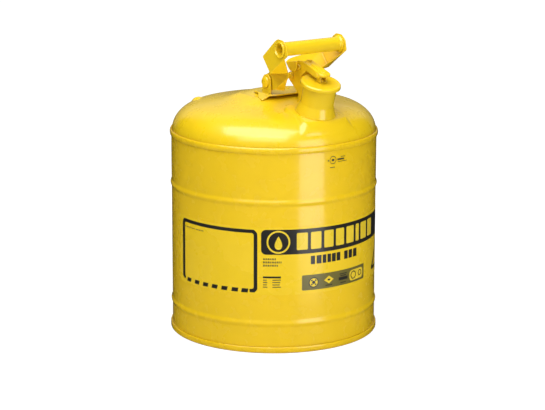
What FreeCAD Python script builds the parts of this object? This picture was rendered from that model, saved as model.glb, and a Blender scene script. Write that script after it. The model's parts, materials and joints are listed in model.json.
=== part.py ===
import FreeCAD, Part
import math
import os

# Round sheet-metal can with a domed top, a tilted spout with a lever-held cap, and a folding handle.
# Millimetres. Origin at the bottom centre of the can, +Z up, spout toward -Y (the front).
# Side views are drawn as (u, z), where u = -y grows toward the front. Left is -X, right is +X.

os.makedirs("parts", exist_ok=True)

# ---------------------------------------------------------------- driving dimensions
SHEET = 0.8              # body sheet thickness
BODY_R = 146.66          # side wall, outside
SHELL_BOTTOM = 2.0
SHELL_TOP = 290.1
PAN_Z = 9.0              # underside of the bottom panel

# spout frame: origin in the middle of the cap top, z along the spout axis, -y toward the front
CAP_U, CAP_Z = 115.6, 375.3
TILT = 15.5              # forward lean, degrees
TILT_SIN = math.sin(math.radians(TILT))
TILT_COS = math.cos(math.radians(TILT))
NECK_R, NECK_WALL = 23.3, 1.0
NECK_TOP, NECK_LOW = -3.45, -46.0

# hinges, as (u, z) with the radius of the pin or hole
HANDLE_HINGE = (25.0, 364.6)
BRACKET_HOLE_R = 3.12
LEVER_HINGE = (74.5, 390.6)
LEVER_PIN_R = 2.4
ANCHOR = (53.5, 375.5)   # pin that holds the rear leg of the spring
ANCHOR_PIN_R = 2.2
CLEVIS_PIN_Z = 10.8      # above the cap, in the spout frame
CLEVIS_PIN_R = 1.8
HEAD_GAP = 0.06          # between a pin head and the flange beside it

LEVER_X = 8.8            # outside of the cap lever
POST_X = 6.8             # outside of the lever post


# ---------------------------------------------------------------- helpers
def vec(x, y, z):
    return FreeCAD.Vector(x, y, z)


def at(x, u, z):
    return vec(x, -u, z)


ORIGIN = vec(0, 0, 0)
X_AXIS = vec(1, 0, 0)
Z_AXIS = vec(0, 0, 1)


def save(shape, name):
    if isinstance(shape, list):
        shape = Part.makeCompound(shape)
    shape.exportStep("parts/%s.step" % name)


def unit(a, b):
    """Direction of (a, b) and its length."""
    length = math.hypot(a, b)
    return a / length, b / length, length


def rounded(corners, place):
    """Closed wire through (a, b, corner radius) entries; place maps (a, b) to a vector."""
    cuts = []            # per corner: start, middle of the arc or None, end
    for i, (a, b, radius) in enumerate(corners):
        if radius <= 0:
            cuts.append(((a, b), None, (a, b)))
            continue
        before, after = corners[i - 1], corners[(i + 1) % len(corners)]
        a1, b1, length1 = unit(before[0] - a, before[1] - b)
        a2, b2, length2 = unit(after[0] - a, after[1] - b)
        half = math.acos(max(-1.0, min(1.0, a1 * a2 + b1 * b2))) / 2.0
        # the arc takes at most 0.49 of either neighbouring side
        trim = min(radius / math.tan(half), 0.49 * length1, 0.49 * length2)
        radius = trim * math.tan(half)
        mid_a, mid_b, _ = unit(a1 + a2, b1 + b2)
        reach = radius / math.sin(half) - radius
        cuts.append(((a + a1 * trim, b + b1 * trim),
                     (a + mid_a * reach, b + mid_b * reach),
                     (a + a2 * trim, b + b2 * trim)))
    edges = []
    for i, (start, middle, end) in enumerate(cuts):
        if middle is not None:
            edges.append(Part.Arc(place(*start), place(*middle), place(*end)).toShape())
        following = cuts[(i + 1) % len(cuts)][0]
        if math.hypot(following[0] - end[0], following[1] - end[1]) > 1e-6:
            edges.append(Part.makeLine(place(*end), place(*following)))
    return Part.Wire(Part.__sortEdges__(edges))


def flat_rounded(corners, z):
    """Rounded outline drawn in x and y at height z."""
    return rounded(corners, lambda x, y: vec(x, y, z))


def radial(r, z):
    return vec(r, 0, z)


def line(start, end):
    """Straight edge between two (r, z) points."""
    return Part.makeLine(radial(*start), radial(*end))


def spline(points, start, end):
    """Curve through (r, z) points with the given end tangents."""
    curve = Part.BSplineCurve()
    curve.interpolate(Points=[radial(r, z) for r, z in points],
                      InitialTangent=radial(*start), FinalTangent=radial(*end))
    return curve.toShape()


def spin(wire, angle=360):
    return Part.Face(wire).revolve(ORIGIN, Z_AXIS, angle)


def polygon(points):
    return Part.makePolygon(points + [points[0]])


def revolve(points):
    """Ring or disc with a sharp-cornered (r, z) section."""
    return spin(polygon([radial(*p) for p in points]))


def revolve_round(corners):
    """Ring or disc with an (r, z, corner radius) section."""
    return spin(rounded(corners, radial))


def side_plate(corners, x0, x1):
    """Plate drawn as (u, z, corner radius), between two x positions."""
    wire = rounded(corners, lambda u, z: at(x0, u, z))
    return Part.Face(wire).extrude(vec(x1 - x0, 0, 0))


def plate_pair(corners, x_in, x_out):
    """The same side plate on the left and on the right."""
    return [side_plate(corners, *sorted((side * x_in, side * x_out))) for side in (-1, 1)]


def rod(centre, r, x0, x1):
    """Cylinder along X; centre is (u, z)."""
    return Part.makeCylinder(r, x1 - x0, at(x0, *centre), X_AXIS)


def side_rod(side, centre, r, x_in, x_out):
    """Rod on the left (side -1) or on the right (side 1)."""
    return rod(centre, r, *sorted((side * x_in, side * x_out)))


def box(x0, x1, y0, y1, z0, z1):
    return Part.makeBox(x1 - x0, y1 - y0, z1 - z0, vec(x0, y0, z0))


def in_spout(shape):
    """Moves a shape from the spout frame to the can frame."""
    moved = shape.copy()
    moved.rotate(ORIGIN, X_AXIS, TILT)
    moved.translate(at(0, CAP_U, CAP_Z))
    return moved


def spout_point(behind, along):
    """(u, z) in the can of a point in the spout frame, behind the axis."""
    return (CAP_U + along * TILT_SIN - behind * TILT_COS,
            CAP_Z + along * TILT_COS + behind * TILT_SIN)


def facet(points, thickness):
    """Flat sheet centred on a polygon of 3-D points."""
    normal = (points[1] - points[0]).cross(points[2] - points[0])
    normal.normalize()
    face = Part.Face(polygon([p - normal * (thickness / 2) for p in points]))
    return face.extrude(normal * thickness)


SEAM_TURN = 100.0        # turns a fold's seam line away from the edges of its facets


def fold(start, end, thickness):
    """Rounded fold line between two facets."""
    direction = end - start
    body = Part.makeCylinder(thickness / 2, direction.Length, start, direction)
    body.rotate(start, direction, SEAM_TURN)
    return body.fuse([Part.makeSphere(thickness / 2, start), Part.makeSphere(thickness / 2, end)])


def fused(pieces):
    """One solid from overlapping pieces, added one after the other."""
    total = pieces[0]
    for piece in pieces[1:]:
        joined = total.fuse(piece)
        if joined.isNull() or joined.Volume < max(total.Volume, piece.Volume) - 1e-3:
            raise RuntimeError("fuse lost material")
        total = joined
    # guards the merging of coplanar faces, which can fail; the unmerged solid is kept then
    try:
        merged = total.removeSplitter()
        if abs(merged.Volume - total.Volume) < 0.01 * total.Volume:
            total = merged
    except Exception:
        pass
    if total.ShapeType == "Compound" and len(total.Solids) == 1:
        total = total.Solids[0]
    return total


def headed_pin(centre, r, half_length, head_r, head_in, head_out, rounding):
    """Pin along X with a head at each end, rounded on the outer rim."""
    pieces = [rod(centre, r, -half_length, half_length)]
    for side in (-1, 1):
        head = side_rod(side, centre, head_r, head_in, head_out)
        rim = [e for e in head.Edges
               if abs(e.BoundBox.XMin - side * head_out) < 0.01
               and abs(e.BoundBox.XMax - side * head_out) < 0.01]
        pieces.append(head.makeFillet(rounding, rim))
    return fused(pieces)


# ---------------------------------------------------------------- can shell
RIB_ZS = (42.2, 214.5)   # middles of the two rolling ribs
RIB_H = 1.5              # rib proud of the wall
RIB_HALF = 6.0           # half height of a rib
# share of RIB_H, share of RIB_HALF from the middle
RIB_SHAPE = [(0, -1), (0.25, -0.72), (0.80, -0.38), (1, 0), (0.80, 0.38), (0.25, 0.72), (0, 1)]


def side_profile(offset):
    """Edges of the wall outline, from bottom to top."""
    r = BODY_R + offset
    edges = []
    z = SHELL_BOTTOM
    for rib_z in RIB_ZS:
        edges.append(line((r, z), (r, rib_z - RIB_HALF)))
        points = [(r + out * RIB_H, rib_z + up * RIB_HALF) for out, up in RIB_SHAPE]
        edges.append(spline(points, (0, 1), (0, 1)))
        z = rib_z + RIB_HALF
    edges.append(line((r, z), (r, SHELL_TOP)))
    return edges


def side_shell():
    ends = [line((BODY_R, z), (BODY_R - SHEET, z)) for z in (SHELL_BOTTOM, SHELL_TOP)]
    edges = side_profile(0.0) + side_profile(-SHEET) + ends
    return spin(Part.Wire(Part.__sortEdges__(edges)))


# seams: folded rings that clamp the shell edge and the end panels
SEAM_CLEAR = 0.04        # between the wall and the seam
SEAM_END = 0.1           # between the shell edge and the seam fold
TOP_SEAM_R, TOP_SEAM_IN_R = 149.0, 145.95
TOP_SEAM_LOW, TOP_SEAM_HIGH = 283.3, 292.3
BOTTOM_SEAM_R, BOTTOM_SEAM_IN_R = 149.3, 143.9
BOTTOM_SEAM_H = 8.6


def top_seam():
    inside = BODY_R + SEAM_CLEAR
    groove = SHELL_TOP + SEAM_END
    return revolve_round([
        (inside, TOP_SEAM_LOW, 0), (TOP_SEAM_R, TOP_SEAM_LOW, 2.0),
        (TOP_SEAM_R, TOP_SEAM_HIGH, 2.4), (TOP_SEAM_IN_R, TOP_SEAM_HIGH, 0.4),
        (TOP_SEAM_IN_R, groove, 0), (inside, groove, 0)])


def bottom_seam():
    inside = BODY_R + SEAM_CLEAR
    groove = SHELL_BOTTOM - SEAM_END
    return revolve_round([
        (inside, groove, 0), (inside, BOTTOM_SEAM_H, 0.4), (148.6, BOTTOM_SEAM_H, 0.8),
        (BOTTOM_SEAM_R, 6.9, 1.6), (BOTTOM_SEAM_R, 0.0, 1.8), (BOTTOM_SEAM_IN_R, 0.0, 1.6),
        (BOTTOM_SEAM_IN_R, 7.2, 0.4), (144.95, 7.2, 0.4), (144.95, groove, 0)])


PANEL_R = 145.8          # rim of the bottom panel and of the dome


def bottom_pan():
    return revolve_round([
        (0, PAN_Z, 0), (136.0, PAN_Z, 2), (140.5, PAN_Z + 3.2, 2), (143.2, PAN_Z + 3.2, 1.0),
        (145.0, PAN_Z + 1.2, 1.0), (145.0, SHELL_BOTTOM, 0), (PANEL_R, SHELL_BOTTOM, 0),
        (PANEL_R, PAN_Z + 4.0, 1.6), (139.9, PAN_Z + 4.0, 2), (135.6, PAN_Z + SHEET, 2),
        (0, PAN_Z + SHEET, 0)])


# ---------------------------------------------------------------- dome
# outside profile (r, z), from the rim to the middle
DOME = [
    (145.9, 292.6), (145.5, 297.4), (143.2, 303.2), (140.0, 308.6), (136.0, 313.2),
    (131.0, 317.4), (125.0, 321.3), (118.0, 324.9), (110.0, 326.9), (100.0, 327.7),
    (90.0, 328.6), (75.0, 331.6), (60.0, 336.6), (45.0, 341.8), (30.0, 345.4),
    (15.0, 346.3), (0.0, 346.38)]
SKIRT_LOW, SKIRT_HIGH = 284.0, 291.6
PAD_HALF = 34.0          # half width of the spout pad at its top
PAD_SPREAD = 14.0        # how far its foot spreads
PAD_H = 26.0
SADDLE_TOP = 343.0       # top of the pad under the handle bracket
FORM_INSET = -0.6        # sideways offset of the inner surface of the pads
BUMP_R = 11.0            # small round bump on the rear left of the dome
BUMP_CENTRE = vec(-70.7, 90.0, 316.9)


def dome_solid(offset):
    """Solid under the dome profile moved inward by offset."""
    points = []
    for i, (r, z) in enumerate(DOME):
        if i == 0:
            in_r, in_z = -1.0, 0.0
        elif i == len(DOME) - 1:
            in_r, in_z = 0.0, -1.0
        else:
            along_r, along_z, _ = unit(DOME[i + 1][0] - DOME[i - 1][0],
                                       DOME[i + 1][1] - DOME[i - 1][1])
            in_r, in_z = -along_z, along_r
        points.append((r + in_r * offset, z + in_z * offset))
    skirt_r = PANEL_R - offset
    edges = [spline(points, (-0.02, 1), (-1, 0)),
             line(points[0], (skirt_r, SKIRT_HIGH)),
             line((skirt_r, SKIRT_HIGH), (skirt_r, SKIRT_LOW)),
             line((skirt_r, SKIRT_LOW), (0, SKIRT_LOW)),
             line((0, SKIRT_LOW), (0, points[-1][1]))]
    return spin(Part.Wire(Part.__sortEdges__(edges)))


def spout_pad(grow, top):
    """Rounded square frustum under the spout, 4 mm shorter at the rear, in the spout frame."""
    def ring(half, z, r):
        rear = half - 4.0
        return flat_rounded([(-half, -half, r), (half, -half, r), (half, rear, r),
                             (-half, rear, r)], z)
    foot = ring(PAD_HALF + PAD_SPREAD + grow, top - PAD_H, 26.0)
    return Part.makeLoft([foot, ring(PAD_HALF + grow, top, 15.0)], True)


def saddle(grow, top):
    """Low formed pad that carries the handle bracket."""
    def ring(half_x, rear, front, z, r):
        half_x, rear, front = half_x + grow, rear - grow, front + grow
        return rounded([(-half_x, rear, r), (half_x, rear, r), (half_x, front, r),
                        (-half_x, front, r)], lambda x, u: at(x, u, z))
    return Part.makeLoft([ring(60.0, -56.0, 60.0, 326.0, 26.0),
                          ring(37.0, -33.0, 38.0, top, 14.0)], True)


def dome_top():
    outside = dome_solid(0.0).fuse(in_spout(spout_pad(0.0, NECK_LOW)))
    outside = outside.fuse(saddle(0.0, SADDLE_TOP)).fuse(Part.makeSphere(BUMP_R, BUMP_CENTRE))
    inside = dome_solid(SHEET).fuse(in_spout(spout_pad(FORM_INSET, NECK_LOW - SHEET)))
    inside = inside.fuse(saddle(FORM_INSET, SADDLE_TOP - SHEET))
    opening = Part.makeCylinder(NECK_R - NECK_WALL + 0.2, 60, vec(0, 0, NECK_LOW - 45), Z_AXIS)
    dome = outside.cut(inside).cut(in_spout(opening))
    # the cut can leave loose bits; the dome is the largest solid
    return max(dome.Solids, key=lambda solid: solid.Volume)


# ---------------------------------------------------------------- spout
def spout_neck():
    bore = NECK_R - NECK_WALL
    foot, foot_r = NECK_LOW + 0.03, 27.2
    lip_r = 25.2
    return in_spout(revolve_round([
        (bore, foot, 0.8), (foot_r, foot, 0.4), (foot_r, foot + 0.9, 0.5),
        (NECK_R, foot + 0.9, 3.4), (NECK_R, NECK_TOP - 3.4, 0.6), (lip_r, NECK_TOP - 2.6, 0.9),
        (lip_r, NECK_TOP, 1.3), (bore, NECK_TOP, 0.5)]))


# flame arrester basket hanging in the neck
GUARD_R, GUARD_WALL = 19.6, 0.6
GUARD_LOW, ARRESTER_TOP = -93.0, -8.1
HOLE_ROWS, HOLES_PER_ROW = 6, 12
HOLE_R = 3.1
HOLE_TOP_ROW, HOLE_ROW_PITCH = -18.0, 12.5


def arrester_guard():
    """Perforated tube with a closed bottom; every other row is turned by half a pitch."""
    start = GUARD_R - 2.5
    step = 360 / HOLES_PER_ROW
    holes = []
    for row in range(HOLE_ROWS):
        z = HOLE_TOP_ROW - HOLE_ROW_PITCH * row
        for k in range(HOLES_PER_ROW):
            angle = math.radians(step * k + (step / 2 if row % 2 else 0))
            out = vec(math.cos(angle), math.sin(angle), 0)
            holes.append(Part.makeCylinder(HOLE_R, 5.0, out * start + vec(0, 0, z), out))
    bore = GUARD_R - GUARD_WALL
    tube = revolve([(bore, GUARD_LOW), (GUARD_R, GUARD_LOW), (GUARD_R, ARRESTER_TOP),
                    (bore, ARRESTER_TOP)])
    floor = Part.makeCylinder(GUARD_R, GUARD_WALL, vec(0, 0, GUARD_LOW - GUARD_WALL), Z_AXIS)
    return in_spout(tube.cut(Part.makeCompound(holes)).fuse(floor))


def arrester_gauze():
    r, wall, low = 18.9, 0.4, -92.9
    return in_spout(revolve([
        (0, low), (r, low), (r, ARRESTER_TOP), (r - wall, ARRESTER_TOP), (r - wall, low + wall),
        (0, low + wall)]))


def arrester_collar():
    return in_spout(revolve_round([
        (16.5, -8.0, 0.3), (22.2, -8.0, 0.4), (22.2, -4.6, 0.3), (21.2, -4.6, 0.3),
        (21.2, -6.9, 0.4), (16.5, -6.9, 0.4)]))


# ---------------------------------------------------------------- cap
CAP_R, CAP_DEPTH = 28.2, 5.4
CAP_WALL = 1.1
CLEVIS_HALF = 5.4        # half width of the clevis, both ways
CLEVIS_WALL = 1.3


def cap_shell():
    return in_spout(revolve_round([
        (0, 0, 0), (CAP_R - 1.2, 0, 1.2), (CAP_R, -1.6, 1.2), (CAP_R + 0.25, -CAP_DEPTH, 0.4),
        (CAP_R - 1.1, -CAP_DEPTH, 0.4), (CAP_R - 1.2, -CAP_WALL, 0.5), (0, -CAP_WALL, 0)]))


def cap_gasket():
    top = -CAP_WALL - 0.03
    return in_spout(revolve_round([(20.6, -3.4, 0.5), (26.9, -3.4, 0.5), (26.9, top, 0.3),
                                   (20.6, top, 0.3)]))


def cap_clevis():
    """Base plate with two ears that hold the clevis pin."""
    half, ear_top = CLEVIS_HALF, CLEVIS_PIN_Z + 2.8
    pieces = [box(-half, half, -half, half, 0.03, 1.3)]
    for side in (-1, 1):
        x = side * (half - CLEVIS_WALL / 2) - CLEVIS_WALL / 2
        ear = rounded([(-half, 0.1, 0), (half, 0.1, 0), (3.2, ear_top, 2.9),
                       (-3.2, ear_top, 2.9)], lambda y, z: vec(x, y, z))
        pieces.append(Part.Face(ear).extrude(vec(CLEVIS_WALL, 0, 0)))
    clevis = fused(pieces).cut(rod((0, CLEVIS_PIN_Z), CLEVIS_PIN_R + 0.05, -20, 20))
    return in_spout(clevis.cut(Part.makeCylinder(2.0, 6, vec(0, 0, -1), Z_AXIS)))


def cap_rivet():
    """Shank through the clevis base with a domed head above it."""
    shank = Part.makeCylinder(1.95, 3.0, vec(0, 0, 0.03), Z_AXIS)
    head = Part.makeSphere(4.0, ORIGIN).common(
        Part.makeCylinder(6, 6, vec(0, 0, 1.33), Z_AXIS))
    return in_spout(fused([shank.fuse(head)]))


def clevis_pin():
    head_in = LEVER_X + HEAD_GAP
    return in_spout(headed_pin((0, CLEVIS_PIN_Z), CLEVIS_PIN_R, half_length=9.2, head_r=2.8,
                               head_in=head_in, head_out=head_in + 1.3, rounding=0.7))


# ---------------------------------------------------------------- cap lever
LEVER_SHEET = 1.4
# the web is drawn flat, then tilted; y = 0, z = 0 of the drawing keeps u = 0 of the can
# in line with the tilt through this point on its upper face
LEVER_REF_U, LEVER_REF_Z = 101.45, 394.97
NOSE_Y, WEB_REAR_Y = -131.4, -80.0
NOTCH_Y, NOTCH_R = -81.5, 7.0


def on_lever(shape):
    """Tilts a shape drawn flat about the reference point of the lever."""
    moved = shape.copy()
    moved.translate(vec(0, LEVER_REF_U, 0))
    moved.rotate(ORIGIN, X_AXIS, TILT)
    moved.translate(at(0, LEVER_REF_U, LEVER_REF_Z))
    return moved


def under_web(u):
    """Top edge of the side flanges, just inside the web."""
    top = LEVER_REF_Z - math.tan(math.radians(TILT)) * (u - LEVER_REF_U)
    return top - 1.2 / TILT_COS


def lever_web():
    """Top web with a round nose, notched in a curve over the hinge."""
    web = Part.Face(flat_rounded([
        (-LEVER_X, NOSE_Y, 7.6), (LEVER_X, NOSE_Y, 7.6), (LEVER_X, WEB_REAR_Y, 0),
        (-LEVER_X, WEB_REAR_Y, 0)], 0)).extrude(vec(0, 0, -LEVER_SHEET))
    web = web.cut(Part.makeCylinder(NOTCH_R, 10, vec(0, NOTCH_Y, -5), Z_AXIS))
    web = web.cut(box(-NOTCH_R, NOTCH_R, NOTCH_Y, -70.0, -5, 5))
    long_edges = [e for e in web.Edges
                  if e.BoundBox.ZMin > -0.01
                  and e.BoundBox.XMax - e.BoundBox.XMin < 0.01
                  and abs(abs(e.BoundBox.XMin) - LEVER_X) < 0.01]
    # guards the rounding of the long upper edges, which can fail; the web stays sharp then
    try:
        web = web.makeFillet(1.1, long_edges)
    except Exception:
        pass
    return web


def lever_rib():
    """Long rounded rib raised on the web."""
    rib = Part.Face(flat_rounded([(-3.9, -126.0, 3.85), (3.9, -126.0, 3.85), (3.9, -94.0, 3.85),
                                  (-3.9, -94.0, 3.85)], -0.6)).extrude(vec(0, 0, 2.3))
    return rib.makeFillet(1.2, [e for e in rib.Edges if e.BoundBox.ZMin > 1.6])


def lever_lip():
    """Lip round the nose, set just inside the edge of the web."""
    inset, wall = 0.06, 1.3

    def nose(half, front, rear, r, z):
        return Part.Face(flat_rounded([(-half, front, r), (half, front, r), (half, rear, 0),
                                       (-half, rear, 0)], z))
    half, front = LEVER_X - inset, NOSE_Y + inset
    outer = nose(half, front, -118.0, 7.55, -0.7).extrude(vec(0, 0, -3.2))
    inner = nose(half - wall, front + wall, -110.0, 6.2, -6.0).extrude(vec(0, 0, 9.0))
    return outer.cut(inner).common(box(-12, 12, -135, -123.4, -8, 2))


def cap_lever():
    # flange outline (u, z, corner radius), from the front top corner round below
    flange = [
        (124.8, under_web(124.8), 1.0), (123.6, 381.7, 4.0), (115.0, 381.4, 2.5),
        (92.5, 387.9, 1.2), (77.0, 376.9, 1.4), (68.1, 384.6, 5.0), (66.9, 393.1, 5.0),
        (71.5, 399.7, 3.0), (79.5, under_web(79.5), 6.0)]
    flanges = plate_pair(flange, LEVER_X - LEVER_SHEET, LEVER_X)
    lever = fused([on_lever(lever_web())] + flanges
                  + [on_lever(lever_rib()), on_lever(lever_lip())])
    lever = lever.cut(rod(spout_point(0, CLEVIS_PIN_Z), CLEVIS_PIN_R + 0.05, -30, 30))
    return lever.cut(rod(LEVER_HINGE, LEVER_PIN_R + 0.06, -30, 30))


# ---------------------------------------------------------------- handle bracket
BASE_Z = 346.4           # underside of the base plate
BASE_T = 2.2
CHEEK_X = 29.0           # inside of the upright cheeks
CHEEK_OUT_X = CHEEK_X + BASE_T
EYELET_XS, EYELET_U = (-16.0, 16.0), 8.0


def handle_bracket():
    """Base plate with a sloping foot and an upright cheek on each side."""
    outline = [(-34.0, -6.0, 9.0), (34.0, -6.0, 9.0), (34.0, 40.0, 0), (22.0, 44.0, 10.0),
               (-22.0, 44.0, 10.0), (-34.0, 40.0, 0)]        # x, u, corner radius
    wire = rounded(outline, lambda x, u: at(x, u, BASE_Z))
    pieces = [Part.Face(wire).extrude(vec(0, 0, BASE_T))]
    middle = BASE_Z + BASE_T / 2
    for side in (-1, 1):
        fold_rear, fold_front = at(side * 33.2, 10.0, middle), at(side * 33.2, 39.6, middle)
        toe_front, toe_rear = at(side * 45.0, 37.0, 341.4), at(side * 43.5, 26.0, 342.4)
        normal = (fold_front - fold_rear).cross(toe_front - fold_rear)
        normal.normalize()
        # keep the foot planar
        toe_rear = toe_rear - normal * ((toe_rear - fold_rear).dot(normal))
        pieces.append(facet([fold_rear, fold_front, toe_front, toe_rear], BASE_T))
        pieces.append(fold(fold_rear, fold_front, BASE_T))
    cheek = [(15.8, BASE_Z + 0.4, 0), (37.0, BASE_Z + 0.4, 0), (36.4, 375.6, 9.9),
             (16.4, 375.6, 9.9)]
    bracket = fused(pieces + plate_pair(cheek, CHEEK_X, CHEEK_OUT_X))
    bracket = bracket.cut(rod(HANDLE_HINGE, BRACKET_HOLE_R, -40, 40))
    for x in EYELET_XS:
        bracket = bracket.cut(Part.makeCylinder(2.6, 10, at(x, EYELET_U, 342), Z_AXIS))
    return bracket


def bracket_eyelets():
    top = BASE_Z + BASE_T
    eyelets = []
    for x in EYELET_XS:
        eyelet = revolve_round([
            (1.5, BASE_Z - 0.01, 0.2), (2.55, BASE_Z - 0.01, 0.2), (2.55, top + 0.02, 0),
            (4.4, top + 0.02, 0.3), (4.4, top + 1.0, 0.7), (1.5, top + 1.0, 0.4)])
        eyelet.translate(at(x, EYELET_U, 0))
        eyelets.append(eyelet)
    return eyelets


def handle_rivets():
    head_x = CHEEK_OUT_X + 0.05
    rivets = []
    for side in (-1, 1):
        def section(r, x_in, x_out):
            return side_rod(side, HANDLE_HINGE, r, x_in, x_out)
        dome = Part.makeSphere(11.2, at(side * 23.9, *HANDLE_HINGE)).common(
            section(8.2, head_x, 38.0))
        rivets.append(fused([section(3.08, 24.0, 31.5), section(7.95, head_x, 31.9), dome,
                             section(5.4, 24.0, 26.1)]))
    return rivets


def pivot_washers():
    x_in, x_out = 27.85, 28.95
    return [side_rod(side, HANDLE_HINGE, 8.0, x_in, x_out).cut(
        side_rod(side, HANDLE_HINGE, BRACKET_HOLE_R, x_in - 1, x_out + 1)) for side in (-1, 1)]


# ---------------------------------------------------------------- lever post, pins and spring
def lever_post():
    """Channel behind the neck, with two flanges that carry the lever hinge."""
    near, far = NECK_R + 0.06, NECK_R + 0.06 + 1.4
    low, high = -42.2, -9.0          # along the spout axis
    front_low, front_high = spout_point(near, low), spout_point(near, high)
    rear_low, rear_high = spout_point(far, low), spout_point(far, high)
    plate = [(*p, 0) for p in (front_low, front_high, rear_high, rear_low)]
    flange = [                       # u, z, corner radius
        (*front_low, 0), (*front_high, 0), (82.7, 377.0, 3), (81.9, 384.0, 2),
        (82.1, 398.1, 7.4), (66.9, 398.1, 7.4), (65.4, 390.2, 3), (61.4, 385.4, 3),
        (55.5, 383.0, 5), (46.7, 377.2, 6), (48.4, 368.4, 3), (53.0, 365.6, 1),
        (70.5, 352.4, 3), (70.0, 343.9, 1)]
    post = fused([side_plate(plate, -POST_X, POST_X)] + plate_pair(flange, POST_X - 1.2, POST_X))
    post = post.cut(rod(LEVER_HINGE, LEVER_PIN_R + 0.04, -20, 20))
    return post.cut(rod(ANCHOR, ANCHOR_PIN_R + 0.04, -20, 20))


def lever_pin():
    return headed_pin(LEVER_HINGE, LEVER_PIN_R, half_length=9.5, head_r=4.0,
                      head_in=LEVER_X + HEAD_GAP, head_out=10.6, rounding=0.9)


def anchor_pin():
    return headed_pin(ANCHOR, ANCHOR_PIN_R, half_length=7.5, head_r=5.6,
                      head_in=POST_X + HEAD_GAP, head_out=10.8, rounding=3.2)


WIRE_R = 0.65
COIL_R = 3.35            # to the middle of the wire
TURNS, COIL_PITCH = 6, 1.5
POINTS_PER_TURN = 14
COIL_END = math.radians(80.0)


def closing_spring():
    """Coil round the lever pin, one leg to the anchor pin and one under the lever."""
    hinge_u, hinge_z = LEVER_HINGE
    leg_u, leg_z, leg = unit(ANCHOR[0] - hinge_u, ANCHOR[1] - hinge_z)
    coil_start = math.atan2(-leg_u, leg_z)       # normal on the upper side of the rear leg
    normal_u, normal_z = math.cos(coil_start), math.sin(coil_start)
    anchor_offset = ANCHOR_PIN_R + WIRE_R + 0.08
    half_width = TURNS * COIL_PITCH / 2
    points = []
    # rear leg: from beyond the anchor pin to the coil
    for reach in (leg + 3.0, leg, 0.75 * leg, 0.5 * leg, 0.25 * leg):
        off = COIL_R + (anchor_offset - COIL_R) * min(reach / leg, 1.0)
        points.append(at(half_width, hinge_u + leg_u * reach + normal_u * off,
                         hinge_z + leg_z * reach + normal_z * off))
    # the coil runs forward over the top of the pin
    sweep = coil_start - COIL_END + 2 * math.pi * (TURNS - 1)
    steps = TURNS * POINTS_PER_TURN
    for k in range(steps + 1):
        angle = coil_start - sweep * k / steps
        end_u = hinge_u + COIL_R * math.cos(angle)
        end_z = hinge_z + COIL_R * math.sin(angle)
        points.append(at(half_width - TURNS * COIL_PITCH * k / steps, end_u, end_z))
    # front leg, tangent to the end of the coil
    for reach in (5.0, 10.0, 15.0):
        points.append(at(-half_width, end_u + math.sin(angle) * reach,
                         end_z - math.cos(angle) * reach))
    curve = Part.BSplineCurve()
    curve.interpolate(points)
    section = Part.Wire(Part.makeCircle(WIRE_R, points[0], points[1] - points[0]))
    return Part.Wire(curve.toShape()).makePipeShell([section], True, False)


# ---------------------------------------------------------------- handle
GRIP = (89.0, 420.7)     # middle of the grip tube, (u, z)
GRIP_R, GRIP_BORE = 9.8, 8.4
END_X = 49.5             # middle of the end plates
LOW_X = 27.0             # middle of the lower flanges
ARM_T = 1.6
ARM_UPPER, ARM_LOWER = 17.3, -10.7   # edges of the end plate, off the arm line
# unit direction from the grip to the hinge
ARM_U, ARM_Z, _ = unit(HANDLE_HINGE[0] - GRIP[0], HANDLE_HINGE[1] - GRIP[1])


def arm_point(along, off):
    """(u, z) at a distance from the grip toward the hinge, off to the back and up."""
    return (GRIP[0] + ARM_U * along + ARM_Z * off, GRIP[1] + ARM_Z * along - ARM_U * off)


PLATE_UPPER, PLATE_LOWER = arm_point(43.0, ARM_UPPER), arm_point(43.0, ARM_LOWER)
FOLD_TOP = (98.6, 409.6)
FLANGE_FRONT = (75.3, 384.2)
FLANGE_REAR = (28.3, 378.2)
# outlines as u, z, corner radius
END_PLATE = [
    (*PLATE_UPPER, 1.2), (75.5, 430.6, 9.0), (82.0, 434.4, 6.0), (94.5, 434.2, 9.0),
    (103.6, 427.5, 5.0), (106.3, 413.4, 2.5), (*PLATE_LOWER, 1.2)]
LOW_FLANGE = [
    (*FLANGE_REAR, 1.0), (*FLANGE_FRONT, 1.0), (75.6, 377.0, 2.0), (38.0, 354.2, 8.0),
    (26.0, 351.0, 8.0), (12.2, 354.5, 10.0), (12.4, 366.0, 7.0), (19.6, 374.2, 7.0)]


def arm_plate(corners, x):
    return side_plate(corners, x - ARM_T / 2, x + ARM_T / 2)


def arm_pieces(side):
    """End plate, lower flange and the sloping facets between them."""
    end_x, low_x = side * END_X, side * LOW_X
    lower, top = at(end_x, *PLATE_LOWER), at(end_x, *FOLD_TOP)
    front, rear = at(low_x, *FLANGE_FRONT), at(low_x, *FLANGE_REAR)
    # stiffening fold along the lower front edge, turned inward
    lip_front, lip_rear = at(low_x, 73.8, 375.9), at(low_x, 41.2, 356.1)
    lip_inner = at(side * 16.0, 49.6, 354.6)
    return [arm_plate(END_PLATE, end_x), arm_plate(LOW_FLANGE, low_x),
            facet([lower, top, front], ARM_T), facet([lower, front, rear], ARM_T),
            fold(lower, top, ARM_T), fold(lower, front, ARM_T), fold(rear, front, ARM_T),
            facet([lip_front, lip_rear, lip_inner], ARM_T), fold(lip_rear, lip_front, ARM_T),
            Part.makeSphere(ARM_T / 2, lower)]


def bored(arm):
    """Cuts the seat of the grip tube and the hinge hole."""
    return arm.cut(rod(GRIP, GRIP_R + 0.03, -60, 60)).cut(rod(HANDLE_HINGE, 3.13, -60, 60))


def handle_arm_left():
    return bored(fused(arm_pieces(-1)))


WEB_ALONG = 43.4         # the cross web's distance from the grip
HUB_X = -15.3            # flange at the inner end of the cross web
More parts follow.
